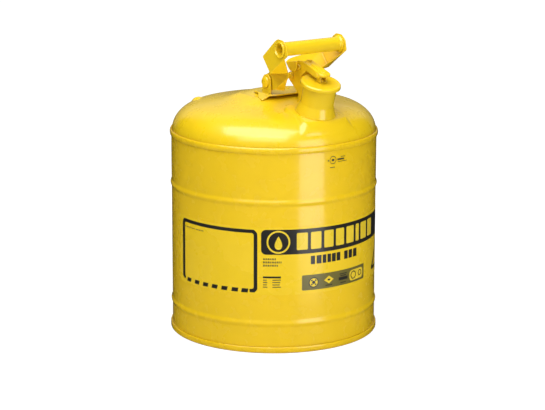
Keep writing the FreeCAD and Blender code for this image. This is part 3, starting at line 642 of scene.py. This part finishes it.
def cap_disc():
    corners = [(0.0, 0.0), (26.9, 0.0), (28.25, -1.3), (28.4, -5.4), (27.0, -5.4),
               (27.0, -1.12), (0.0, -1.12)]                                 # (r, z)
    radii = [0, 0.7, 0.9, 0.65, 0.6, 0.5, 0]

    def dish(angle, r, z):
        """a faint dish, and one pressed ring near the rim"""
        ring = 0.22 * np.exp(-((r - 24.4) / 0.9) ** 2) * np.clip(r / 8, 0, 1)
        sink = 0.10 * (1 - np.clip(r / 24, 0, 1)) * (z > -0.2) * 0.4
        return r, z + np.where(z > -1.15, ring - sink, 0)

    turned("cap_disc", "cap_shell", dense(rounded(corners, radii, 6), 1.0), PART_ENAMEL, "lid",
           SPOUT_SEGMENTS, shape=dish, place=to_spout, weld=True)


def cap_gasket():
    corners = [(20.6, -3.4), (26.6, -3.4), (26.6, -1.14), (20.6, -1.14)]    # (r, z)
    turned("gasket_ring", "cap_gasket", dense(rounded(corners, [0.7, 0.7, 0.4, 0.4]), 0.6),
           RUBBER, "lid", SPOUT_SEGMENTS, place=to_spout,
           shape=lambda angle, r, z: (r, z + 0.03 * np.sin(9 * angle)))


def arrester_collar():
    corners = [(16.5, -8.0), (22.2, -8.0), (22.2, -4.6), (21.2, -4.6), (21.2, -6.9),
               (16.5, -6.9)]                                                # (r, z)
    radii = [0.35, 0.5, 0.4, 0.4, 0.6, 0.4]
    turned("collar_ring", "arrester_collar", dense(rounded(corners, radii), 0.7), ZINC, "can",
           SPOUT_SEGMENTS, place=to_spout)


spout_neck()
cap_disc()
cap_gasket()
arrester_collar()


# ------------------------------------------------------------------ grip tube
def grip_tube():
    """tube along X with a flange and a rolled lip at each end"""
    bore, tube = 8.4, 9.8
    # (r, distance along the grip, corner radius), from the middle out along the tube
    flange = [(tube, 45.4, 2.4), (12.3, 47.2, 0.8), (12.3, 48.66, 0.3), (tube, 48.66, 0),
              (tube, 50.34, 0), (11.7, 50.34, 0.4), (11.7, 52.2, 0.9), (10.4, 53.0, 0.7),
              (9.4, 52.7, 0.6), (bore, 50.4, 2.2)]
    rows = [(r, -along, corner) for r, along, corner in reversed(flange)] + flange
    profile = rounded([row[:2] for row in rows], [row[2] for row in rows])
    middle = centre("handle_grip")

    def along_x(v):
        return np.stack([v[:, 2] + middle[0] * MM, v[:, 1] + middle[1] * MM,
                         -v[:, 0] + middle[2] * MM], -1)

    turned("grip_tube", "handle_grip", dense(profile, 2.0), GRIP_ENAMEL, "handle",
           SPOUT_SEGMENTS, place=along_x)


grip_tube()


# ------------------------------------------------------------------ formed fittings
def soften(name, node_name, body, voxel, iterations):
    """CAD piece on a fine even mesh, its corners rounded as thick paint rounds them"""
    source = frame["nodes"][node_name].data.copy()
    bm = bmesh.new()
    bm.from_mesh(source)
    bmesh.ops.remove_doubles(bm, verts=bm.verts, dist=2e-6)
    bmesh.ops.recalc_face_normals(bm, faces=bm.faces)
    bm.to_mesh(source)
    bm.free()
    size = voxel * MM * 1.0
    mesh = apply_modifiers(source, name,
                           ("REMESH", {"mode": "VOXEL", "voxel_size": size}),
                           ("SMOOTH", {"factor": 0.5, "iterations": iterations}))
    finish(name, mesh, PART_ENAMEL, body, [node_name], sharp=180.0)


# name, CAD piece, body, voxel size, smoothing steps
for row in [
        ("arm_left_sheet", "handle_arm_left", "handle", 0.36, 9),
        ("arm_right_sheet", "handle_arm_right", "handle", 0.36, 9),
        ("bracket_sheet", "handle_bracket", "can", 0.34, 5),
        ("lever_channel", "cap_lever", "lid", 0.28, 4),
        ("clevis_sheet", "cap_clevis", "lid", 0.22, 4),
        ("post_sheet", "lever_post", "can", 0.28, 4),
        ("eyelet_rings", "bracket_eyelets", "can", 0.14, 3),
        ("washer_pair", "pivot_washers", "can", 0.18, 3),
        ("hinge_pin", "lever_pin", "can", 0.18, 4),
        ("clevis_cross_pin", "clevis_pin", "lid", 0.18, 4),
        ("cap_rivet_head", "cap_rivet", "lid", 0.12, 3)]:
    soften(*row)


# ------------------------------------------------------------------ pins along X
def turned_x(name, node_name, outlines):
    """closed (r, x) outlines turned about the line along X through the middle of a CAD piece"""
    middle = centre(node_name)
    vertices, quads = [], []
    for number, outline in enumerate(outlines):
        v, q = lathe(dense(outline, 0.5), PIN_SEGMENTS)
        vertices.append(np.stack([v[:, 2], v[:, 1] + middle[1] * MM,
                                  v[:, 0] + middle[2] * MM], -1))
        quads.append(q + sum(len(part) for part in vertices[:number]))
    mesh = quad_mesh(name, np.vstack(vertices), np.vstack(quads))
    finish(name, mesh, PART_ENAMEL, "can", [node_name], weld=True)


def head(radius, x0, x1, fullness):
    """domed head from its rim at x0 to its middle at x1"""
    edge = 0.16                 # share of the height taken by the straight edge
    points = [(radius, x0), (radius, x0 + (x1 - x0) * edge)]
    for t in np.linspace(0.12, 1, 12)[:-1]:
        angle = t * math.pi / 2
        points.append((radius * math.cos(angle) ** fullness,
                       x0 + (x1 - x0) * (edge + 0.84 * math.sin(angle))))
    return points + [(0.0, x1)]


def mirrored(points):
    return [(r, -x) for r, x in reversed(points)]


pin_half = [(PIN_RADIUS, 6.88)] + head(5.9, 6.88, 11.4, fullness=0.9)
turned_x("spring_stop_pin", "anchor_pin", [mirrored(pin_half) + pin_half])
rivet = [(0.0, 24.0), (4.8, 24.0), (5.4, 24.5), (5.4, 26.0), (3.08, 26.1), (3.08, 31.2)]
rivet += head(8.1, 31.22, 35.0, fullness=0.95)
turned_x("handle_rivet_pair", "handle_rivets", [rivet, mirrored(rivet)])


# ------------------------------------------------------------------ closing spring
def sweep(points, radius, sides):
    """round wire with closed ends along a line of points"""
    points = np.array(points, float)
    tangents = np.gradient(points, axis=0)
    tangents /= np.linalg.norm(tangents, axis=1)[:, None]
    normal = np.cross(tangents[0], [0.3, 0.8, 0.5])
    normal /= np.linalg.norm(normal)
    vertices = []
    for point, tangent in zip(points, tangents):
        normal = normal - tangent * (normal @ tangent)
        normal /= np.linalg.norm(normal)
        across = np.cross(tangent, normal)
        for s in range(sides):
            t = 2 * math.pi * s / sides
            vertex = point + radius * (math.cos(t) * normal + math.sin(t) * across)
            vertices.append(tuple(vertex * MM))
    last = (len(points) - 1) * sides
    faces = [(k + s, k + (s + 1) % sides, k + sides + (s + 1) % sides, k + sides + s)
             for k in range(0, last, sides) for s in range(sides)]
    caps = [tuple(range(sides - 1, -1, -1)), tuple(last + s for s in range(sides))]
    mesh = bpy.data.meshes.new("sweep")
    mesh.from_pydata(vertices, [], faces + caps)
    mesh.update()
    return mesh


def closing_spring():
    """coil round the lever axis, with one leg past the anchor pin and one short leg"""
    wire, coil, turns, pitch = 0.62, 3.35, 6.0, 1.5
    steps = int(turns * 36)
    half_width = turns * pitch / 2
    leg_offset = PIN_RADIUS + wire + 0.12       # the long leg passes clear of the pin
    anchor = centre("anchor_pin")
    axis_u, axis_z = -LEVER_AXIS[1], LEVER_AXIS[2]
    leg_u, leg_z = -anchor[1] + LEVER_AXIS[1], anchor[2] - axis_z
    length = math.hypot(leg_u, leg_z)
    leg_u, leg_z = leg_u / length, leg_z / length
    start = math.atan2(-leg_u, leg_z)
    if math.sin(start) < 0:
        start += math.pi
    points = []
    for f in np.linspace(length + 3.0, 2.0, 14):
        offset = coil + (leg_offset - coil) * min(f / length, 1.0)
        points.append((half_width, -(axis_u + leg_u * f + math.cos(start) * offset),
                       axis_z + leg_z * f + math.sin(start) * offset))
    total = start - math.radians(80.0) + 2 * math.pi * (turns - 1)
    for k in range(steps + 1):
        angle = start - total * k / steps
        points.append((half_width - turns * pitch * k / steps,
                       -(axis_u + coil * math.cos(angle)), axis_z + coil * math.sin(angle)))
    end = start - total
    end_u, end_z = axis_u + coil * math.cos(end), axis_z + coil * math.sin(end)
    for f in np.linspace(1.2, 15.0, 8):
        points.append((-half_width, -(end_u + math.sin(end) * f), end_z - math.cos(end) * f))
    finish("spring_wire_coil", sweep(points, wire, sides=14), SPRING_WIRE, "can",
           ["closing_spring"], sharp=60)


closing_spring()

# ------------------------------------------------------------------ pieces that keep their CAD shape
for node_name, material in (("arrester_guard", GUARD_STEEL), ("arrester_gauze", GAUZE)):
    piece = frame["nodes"][node_name]
    piece.data.materials.clear()
    piece.data.materials.append(material)

# ------------------------------------------------------------------ print helpers
# Outlines are lists of (psi in degrees, z). A shape is a list of outlines: outer, then holes.
DEG_PER_MM = 180.0 / (math.pi * WALL_RADIUS)
MM_PER_DEG = math.radians(1) * WALL_RADIUS
FOLD_STEP = 2.5                     # spacing of the folds that let a shell follow the wall


def inside(x, y, outline):
    """whether (x, y) lies within a closed outline"""
    result = False
    for i, (x1, y1) in enumerate(outline):
        x2, y2 = outline[(i + 1) % len(outline)]
        if (y1 > y) != (y2 > y) and x < (x2 - x1) * (y - y1) / (y2 - y1) + x1:
            result = not result
    return result


def flat_shape(loops):
    """one shape filled with faces in the (mm along the wall, 0, z) plane, then folded"""
    vertices, edges = [], []
    for loop in loops:
        base = len(vertices)
        vertices += [Vector(p) for p in loop]
        edges += [(base + i, base + (i + 1) % len(loop)) for i in range(len(loop))]
    filled = geometry.delaunay_2d_cdt(vertices, edges, [], 0, 1e-5)
    vertices, faces = filled[0], filled[2]
    bm = bmesh.new()
    points = [bm.verts.new((p[0], 0, p[1])) for p in vertices]
    for face in faces:
        x = sum(vertices[i][0] for i in face) / len(face)
        z = sum(vertices[i][1] for i in face) / len(face)
        if inside(x, z, loops[0]) and not any(inside(x, z, hole) for hole in loops[1:]):
            bm.faces.new([points[i] for i in face])
    for v in [v for v in bm.verts if not v.link_faces]:
        bm.verts.remove(v)
    fold = math.floor(min(p[0] for p in loops[0]) / FOLD_STEP) * FOLD_STEP
    end = max(p[0] for p in loops[0])
    while fold < end:
        fold += FOLD_STEP
        bmesh.ops.bisect_plane(bm, geom=bm.verts[:] + bm.edges[:] + bm.faces[:],
                               plane_co=(fold, 0, 0), plane_no=(1, 0, 0), dist=1e-5)
    bm.verts.index_update()
    return bm


def print_mesh(name, shapes, material, offset, thickness, nodes=()):
    """each shape as a thin closed shell that lies `offset` off the wall"""
    vertices, faces = [], []
    for shape in shapes:
        bm = flat_shape([[(p[0] * MM_PER_DEG, p[1]) for p in loop] for loop in shape])
        flat = [(v.co.x, v.co.z) for v in bm.verts]
        outer = [[v.index for v in face.verts] for face in bm.faces]
        border = [edge.link_loops[0] for edge in bm.edges if len(edge.link_faces) == 1]
        border = [(loop.vert.index, loop.link_loop_next.vert.index) for loop in border]
        bm.free()
        first = len(vertices)
        inner = first + len(flat)
        for level in (offset + thickness, offset):
            for along, z in flat:
                psi = along / WALL_RADIUS
                r = WALL_RADIUS + float(wave(psi, z)) + level + float(upper_swell(z))
                vertices.append((r * math.sin(psi) * MM, -r * math.cos(psi) * MM, z * MM))
        faces += [[first + i for i in face] for face in outer]
        faces += [[inner + i for i in reversed(face)] for face in outer]
        faces += [[first + a, inner + a, inner + b, first + b] for a, b in border]
    mesh = bpy.data.meshes.new(name)
    mesh.from_pydata(vertices, [], faces)
    mesh.update()
    finish(name, mesh, material, "can", nodes, sharp=30)


def rounded_mm(points, radii, segments):
    """rounded outline in degrees, from points given in mm along the wall"""
    return [(x * DEG_PER_MM, z) for x, z in rounded(points, radii, segments)]


def rounded_deg(points, radii, segments):
    return rounded_mm([(psi / DEG_PER_MM, z) for psi, z in points], radii, segments)


def bar(psi0, psi1, z0, z1, radius, segments):
    """solid rounded rectangle; radius is one number, or one for each corner"""
    radii = radius if isinstance(radius, list) else [radius] * 4
    corners = [(psi0, z0), (psi1, z0), (psi1, z1), (psi0, z1)]
    return [rounded_deg(corners, radii, segments)]


def text_bar(psi0, psi1, z, half_height, radius):
    return bar(psi0, psi1, z - half_height, z + half_height, radius, 2)


def circle(psi, z, radius, count):
    turns = [2 * math.pi * k / count for k in range(count)]
    return [(psi + radius * DEG_PER_MM * math.cos(t), z + radius * math.sin(t)) for t in turns]


def ring(psi, z, outer, inner, count):
    return [circle(psi, z, outer, count), circle(psi, z, inner, count)]


# ------------------------------------------------------------------ decal
def write_in_frame():
    """frame at the left: solid on three sides, its bottom side open and dashed"""
    left, right = -94.9, -42.8
    side = 5.2
    left_side, right_side = side * 1.30 * DEG_PER_MM, side * 1.0 * DEG_PER_MM
    in_left, in_right = left + left_side, right - right_side
    # psi, z, corner radius
    arch = [(left + 1.9, 88.3, 0.5), (left, 92.6, 3.0), (left, 172.5, 4.0),
            (left + 1.6, 177.0, 3.0), (right - 1.9, 177.0, 4.0), (right, 172.0, 5.0),
            (right, 91.6, 4.0), (right - 1.6, 87.2, 3.0), (right - 4.2, 87.2, 0.3),
            (right - 4.4, 91.8, 0.3), (in_right - 0.6, 92.6, 1.5), (in_right, 94.4, 1.5),
            (in_right, 169.6, 2), (in_right - 0.7, 172.0, 2), (in_left + 0.6, 172.0, 2),
            (in_left, 169.8, 2), (in_left, 93.6, 2), (in_left + 1.0, 91.6, 1.0)]
    shapes = [[rounded_deg([p[:2] for p in arch], [p[2] for p in arch], 4)]]
    half_dash = 1.85
    for middle in (-88.2, -81.2, -74.6, -68.2, -61.9, -55.6, -49.9):
        x0, x1 = (middle - half_dash) / DEG_PER_MM, (middle + half_dash) / DEG_PER_MM
        dash = [(x0 - 0.5, 86.6), (x1 - 0.5, 86.6), (x1 + 0.9, 92.4), (x0 + 0.9, 92.4)]
        shapes.append([rounded_mm(dash, [0.3] * 4, 2)])
    return shapes


def black_print():
    shapes = write_in_frame()
    # heading strip
    shapes.append(bar(-40.8, 66.0, 142.0, 177.5, [7, 5, 5, 7], 6))
    # plain bars as a second line: start, end
    words = [(-13.4, -10.9), (-10.0, -7.0), (-6.3, -4.0), (-3.3, -1.0), (-0.4, 2.2),
             (2.8, 5.4), (8.2, 11.0), (11.7, 14.6), (15.4, 18.6)]
    shapes += [bar(start, end, 126.0, 138.0, 0.6, 3) for start, end in words]
    # heading of the small table
    shapes.append(bar(-39.7, -30.0, 108.3, 110.9, 0.3, 2))
    # triangle at the right, then the heading of the text lines beside it
    outer = [(36.4, 93.5), (64.0, 93.5), (50.2, 137.5)]
    inner = [(40.8, 97.8), (59.6, 97.8), (50.2, 128.0)]
    shapes.append([rounded_deg(outer, [3.0] * 3, 4), rounded_deg(inner, [1.0] * 3, 4)])
    shapes.append(bar(70.0, 94.5, 168.0, 176.5, 0.8, 3))
    return shapes


def fine_print():
    shapes = []
    # capacity lines, of short bars
    for line, end in enumerate((-32.4, -29.6, -31.6)):
        psi, number = -39.7, 0
        while psi < end:
            stop = min(psi + (1.0, 0.8, 1.1, 0.7)[number % 4], end)
            shapes.append(text_bar(psi, stop, 135.6 - 4.6 * line, 1.35, 0.2))
            psi = stop + 0.32
            number += 1
    # small table of two columns
    for k in range(4):
        z = 105.6 - 3.4 * k
        shapes.append(text_bar(-39.7, -37.6 + 0.3 * (k % 2), z, 0.75, 0.2))
        shapes.append(text_bar(-34.6, -30.0 - 0.3 * (k % 3), z, 0.75, 0.2))
    # first line inside the frame
    psi = -92.0
    for k in range(12):
        width = (0.9, 1.3, 0.7, 1.1)[k % 4]
        shapes.append(bar(psi, psi + width, 165.2, 166.6, 0.15, 2))
        psi += width + (0.28 if k % 6 else 0.8)
    # text lines at the right-hand end
    for k in range(13):
        end = 94.4 - (0.0, 2.1, 0.9, 5.2)[k % 4]
        shapes.append(text_bar(70.0, end, 162.0 - 5.4 * k, 0.9, 0.3))
    return shapes


def yellow_print():
    """ring with a plain drop, then plain blocks along the heading strip"""
    middle = -31.4
    drop = []
    for k in range(48):
        t = 2 * math.pi * k / 48
        drop.append((middle + 6.9 * DEG_PER_MM * math.sin(t) * math.sin(t / 2) ** 1.15,
                     158.6 + 9.6 * math.cos(t)))
    # start, end
    blocks = [(-21.4, -15.2), (-13.4, -7.2), (-5.4, 0.6), (2.2, 8.0), (9.8, 15.8),
              (17.6, 20.6), (22.4, 28.6), (30.4, 36.4)]
    return [ring(middle, 159.8, 16.4, 14.0, 64), [drop]] + [
        bar(start, end, 147.8, 172.2, 1.6, 4) for start, end in blocks]


BADGE_Z = 99.6
WHEEL_PSI, DIAMOND_PSI = -11.6, -2.2


def badge_yellow():
    """disc, diamond and rounded panel"""
    z, width, height = BADGE_Z + 1.2, 8.0 * DEG_PER_MM, 5.6
    diamond = [(DIAMOND_PSI - width, z), (DIAMOND_PSI, z - height),
               (DIAMOND_PSI + width, z), (DIAMOND_PSI, z + height)]
    return [[circle(WHEEL_PSI, BADGE_Z, 6.0, 40)], [diamond],
            bar(12.6, 24.8, 92.0, 107.2, 5.0, 6)]


def badge_black():
    shapes = [ring(WHEEL_PSI, BADGE_Z, 7.4, 6.2, 44), [circle(WHEEL_PSI, BADGE_Z, 2.4, 24)]]
    for k in range(4):
        angle = math.radians(45 + 90 * k)
        shapes.append([circle(WHEEL_PSI + 4.1 * DEG_PER_MM * math.cos(angle),
                              BADGE_Z + 4.1 * math.sin(angle), 1.25, 16)])
    half = 2.2 * DEG_PER_MM
    shapes.append(bar(DIAMOND_PSI - half, DIAMOND_PSI + half, BADGE_Z, BADGE_Z + 2.4, 0.5, 3))
    shapes.append(ring(15.9, BADGE_Z, 5.9, 4.4, 40))
    shapes.append(ring(21.9, BADGE_Z + 0.4, 4.4, 3.0, 32))
    # psi from, psi to, z from, z to, corner radius, corner segments
    return shapes + [bar(*row) for row in [
        (-4.4, 0.0, 92.3, 93.7, 0.3, 2), (5.0, 10.4, 105.0, 106.3, 0.3, 2),
        (5.6, 9.8, 102.4, 103.7, 0.3, 2), (4.4, 11.0, 96.6, 101.0, 0.6, 3),
        (5.6, 9.8, 92.3, 93.6, 0.3, 2)]]


def inspection_mark():
    """small printed ring and short bars under the top seam"""
    # psi from, psi to, z from, z to, corner radius, corner segments
    return [ring(-0.3, 270.8, 5.6, 4.7, 40)] + [bar(*row) for row in [
        (-1.2, 0.6, 269.3, 272.3, 0.5, 3), (-3.6, -2.9, 269.4, 271.6, 0.2, 2),
        (2.6, 7.4, 269.6, 271.9, 0.4, 3), (5.0, 8.2, 273.6, 274.5, 0.2, 2),
        (2.9, 9.4, 267.2, 268.0, 0.2, 2), (-2.2, 1.0, 260.0, 261.0, 0.2, 2)]]


# each layer lies just clear of the one below
print_mesh("decal_sheet", [bar(-98.0, 98.0, 84.0, 181.0, 6.0, 5)], DECAL_FILM,
           offset=0.03, thickness=0.10, nodes=["front_decal"])
print_mesh("decal_print_black", black_print(), BLACK_INK, offset=0.135, thickness=0.022)
print_mesh("decal_print_fine", fine_print(), FINE_INK, offset=0.135, thickness=0.018)
print_mesh("decal_print_yellow", yellow_print(), YELLOW_INK, offset=0.160, thickness=0.020)
print_mesh("decal_badge", [bar(-18.4, 26.4, 89.0, 111.0, 2.0, 5)], OLIVE_INK,
           offset=0.135, thickness=0.020)
print_mesh("decal_badge_yellow", badge_yellow(), YELLOW_INK, offset=0.158, thickness=0.018)
print_mesh("decal_badge_black", badge_black(), BLACK_INK, offset=0.180, thickness=0.016)
print_mesh("inspection_mark", inspection_mark(), BLACK_INK, offset=0.03, thickness=0.03)

# ------------------------------------------------------------------ stage (metres)
AZIMUTH = math.radians(34.0)        # the viewer stands to the front left of the can
RIGHT = Vector((math.cos(AZIMUTH), -math.sin(AZIMUTH), 0))
AWAY = Vector((math.sin(AZIMUTH), math.cos(AZIMUTH), 0))
UP = Vector((0, 0, 1))


def floor_material():
    """pale floor; the viewer sees it as a brighter sweep that fades into the white surround"""
    material, shader, coords = new_material("floor_pale")
    grain = shader.noise(coords, scale=40.0)
    shader.surface({"Base Color": shader.mix(grain, (0.80, 0.80, 0.80), (0.86, 0.86, 0.86)),
                    "Roughness": 0.8,
                    "Specular IOR Level": 0.1})
    distance = shader.node("VectorMath", {0: coords}, operation="LENGTH").outputs["Value"]
    seen = shader.node("BsdfPrincipled", {
        "Base Color": (0.30, 0.30, 0.30),
        "Roughness": 0.9,
        "Specular IOR Level": 0.0,
        "Emission Color": (1, 1, 1),
        "Emission Strength": shader.ramp(distance, span=(0.25, 0.75), to=(0.86, 1.0))})
    nodes = shader.tree.nodes
    camera_ray = shader.node("LightPath", {}).outputs["Is Camera Ray"]
    mixed = shader.node("MixShader", {0: camera_ray, 1: nodes["Principled BSDF"].outputs[0],
                                      2: seen.outputs[0]})
    shader.feed(nodes["Material Output"], {"Surface": mixed.outputs[0]})
    return material


def make_floor():
    """disc of rings that widen outward, just below the can"""
    sides, radii, z = 96, [0.16, 0.3, 0.6, 1.2, 2.5, 6.0], -0.0003
    turns = [2 * math.pi * k / sides for k in range(sides)]
    vertices = [(0, 0, z)] + [(r * math.cos(t), r * math.sin(t), z) for r in radii for t in turns]
    faces = [(0, 1 + k, 1 + (k + 1) % sides) for k in range(sides)]
    for band in range(len(radii) - 1):
        inner, outer = 1 + band * sides, 1 + (band + 1) * sides
        for k in range(sides):
            beside = (k + 1) % sides
            faces.append((inner + k, outer + k, outer + beside, inner + beside))
    mesh = bpy.data.meshes.new("floor")
    mesh.from_pydata(vertices, [], faces)
    floor = bpy.data.objects.new("floor", mesh)
    scene.collection.objects.link(floor)
    mesh.materials.append(floor_material())
    floor.visible_glossy = False


def place(right, toward, up):
    """point measured from the can's foot: to the viewer's right, toward the viewer, and up"""
    return RIGHT * right - AWAY * toward + UP * up


def area(name, at, aim, size, radiance, diffuse=True, glossy=True):
    """soft rectangular light; `at` and `aim` are (right, toward, up)"""
    width, height = size
    light = bpy.data.lights.new(name, "AREA")
    light.shape = "RECTANGLE"
    light.size, light.size_y = width, height
    light.energy = radiance * math.pi * width * height
    obj = bpy.data.objects.new(name, light)
    scene.collection.objects.link(obj)
    obj.location = place(*at)
    obj.rotation_mode = "QUATERNION"
    obj.rotation_quaternion = (place(*aim) - place(*at)).to_track_quat("-Z", "Y")
    obj.visible_camera = False
    obj.visible_diffuse = diffuse
    obj.visible_glossy = glossy


def make_world():
    """white to the camera; elsewhere dim, brighter on the viewer's side and low in reflections"""
    world = bpy.data.worlds.new("studio")
    scene.world = world
    shader = Shader(world)
    shader.tree.nodes.clear()
    direction = shader.node("TexCoord", {}).outputs["Generated"]
    facing = shader.node("VectorMath", {0: direction, 1: tuple(-AWAY)}, operation="DOT_PRODUCT")
    glow = shader.ramp(facing.outputs["Value"], span=(-1.0, 1.0), to=(0.05, 0.30))
    rays = shader.node("LightPath", {}).outputs
    reflection_loss = 0.85
    loss = shader.math("MULTIPLY", rays["Is Glossy Ray"], reflection_loss)
    strength = shader.math("MULTIPLY", glow, shader.math("SUBTRACT", 1.0, loss))
    dim = shader.node("Background", {"Color": (1, 1, 1), "Strength": strength})
    white = shader.node("Background", {"Color": (1, 1, 1), "Strength": 1.0})
    mixed = shader.node("MixShader", {0: rays["Is Camera Ray"], 1: dim.outputs[0],
                                      2: white.outputs[0]})
    shader.node("OutputWorld", {"Surface": mixed.outputs[0]})


def make_camera():
    elevation, roll, distance = math.radians(13.576), math.radians(0.161), 3.051
    data = bpy.data.cameras.new("camera")
    camera = bpy.data.objects.new("camera", data)
    scene.collection.objects.link(camera)
    back = -AWAY * math.cos(elevation) + UP * math.sin(elevation)
    level_up = AWAY * math.sin(elevation) + UP * math.cos(elevation)
    side = RIGHT * math.cos(roll) + level_up * math.sin(roll)
    top = -RIGHT * math.sin(roll) + level_up * math.cos(roll)
    target = RIGHT * -0.001688 + UP * 0.17731
    spot = target + back * distance
    rows = [(side[i], top[i], back[i], spot[i]) for i in range(3)]
    camera.matrix_world = Matrix((*rows, (0, 0, 0, 1)))
    data.sensor_fit = "HORIZONTAL"
    data.sensor_width = 36.0
    data.lens = 139.5743119
    data.clip_start, data.clip_end = 0.05, 60.0
    scene.camera = camera


make_floor()
area("top_softbox", at=(-0.28, 0.50, 1.30), aim=(-0.10, 0.05, 0.3), size=(1.36, 0.76),
     radiance=4.0)
area("top_softbox_lip", at=(-0.28, 1.12, 1.14), aim=(-0.10, 0.05, 0.3), size=(1.36, 0.60),
     radiance=2.3, diffuse=False)
area("top_fill", at=(0.0, -0.42, 1.30), aim=(0.0, 0.0, 0.3), size=(1.5, 1.2), radiance=1.5,
     glossy=False)
area("side_strip", at=(0.78, 0.92, 0.30), aim=(0.0, 0.0, 0.22), size=(0.60, 1.05), radiance=2.5)
area("front_fill", at=(-0.45, 1.65, 0.42), aim=(0.0, 0.0, 0.2), size=(1.6, 1.4), radiance=0.66,
     glossy=False)
area("back_card", at=(0.0, -1.70, 1.40), aim=(0.0, 0.0, 0.3), size=(2.8, 1.3), radiance=0.26,
     diffuse=False)
area("back_card_low", at=(0.0, -2.30, 0.60), aim=(0.0, 0.0, 0.33), size=(3.4, 0.95),
     radiance=0.13, diffuse=False)
make_world()
scene.view_settings.view_transform = "Standard"
scene.view_settings.look = "None"
make_camera()
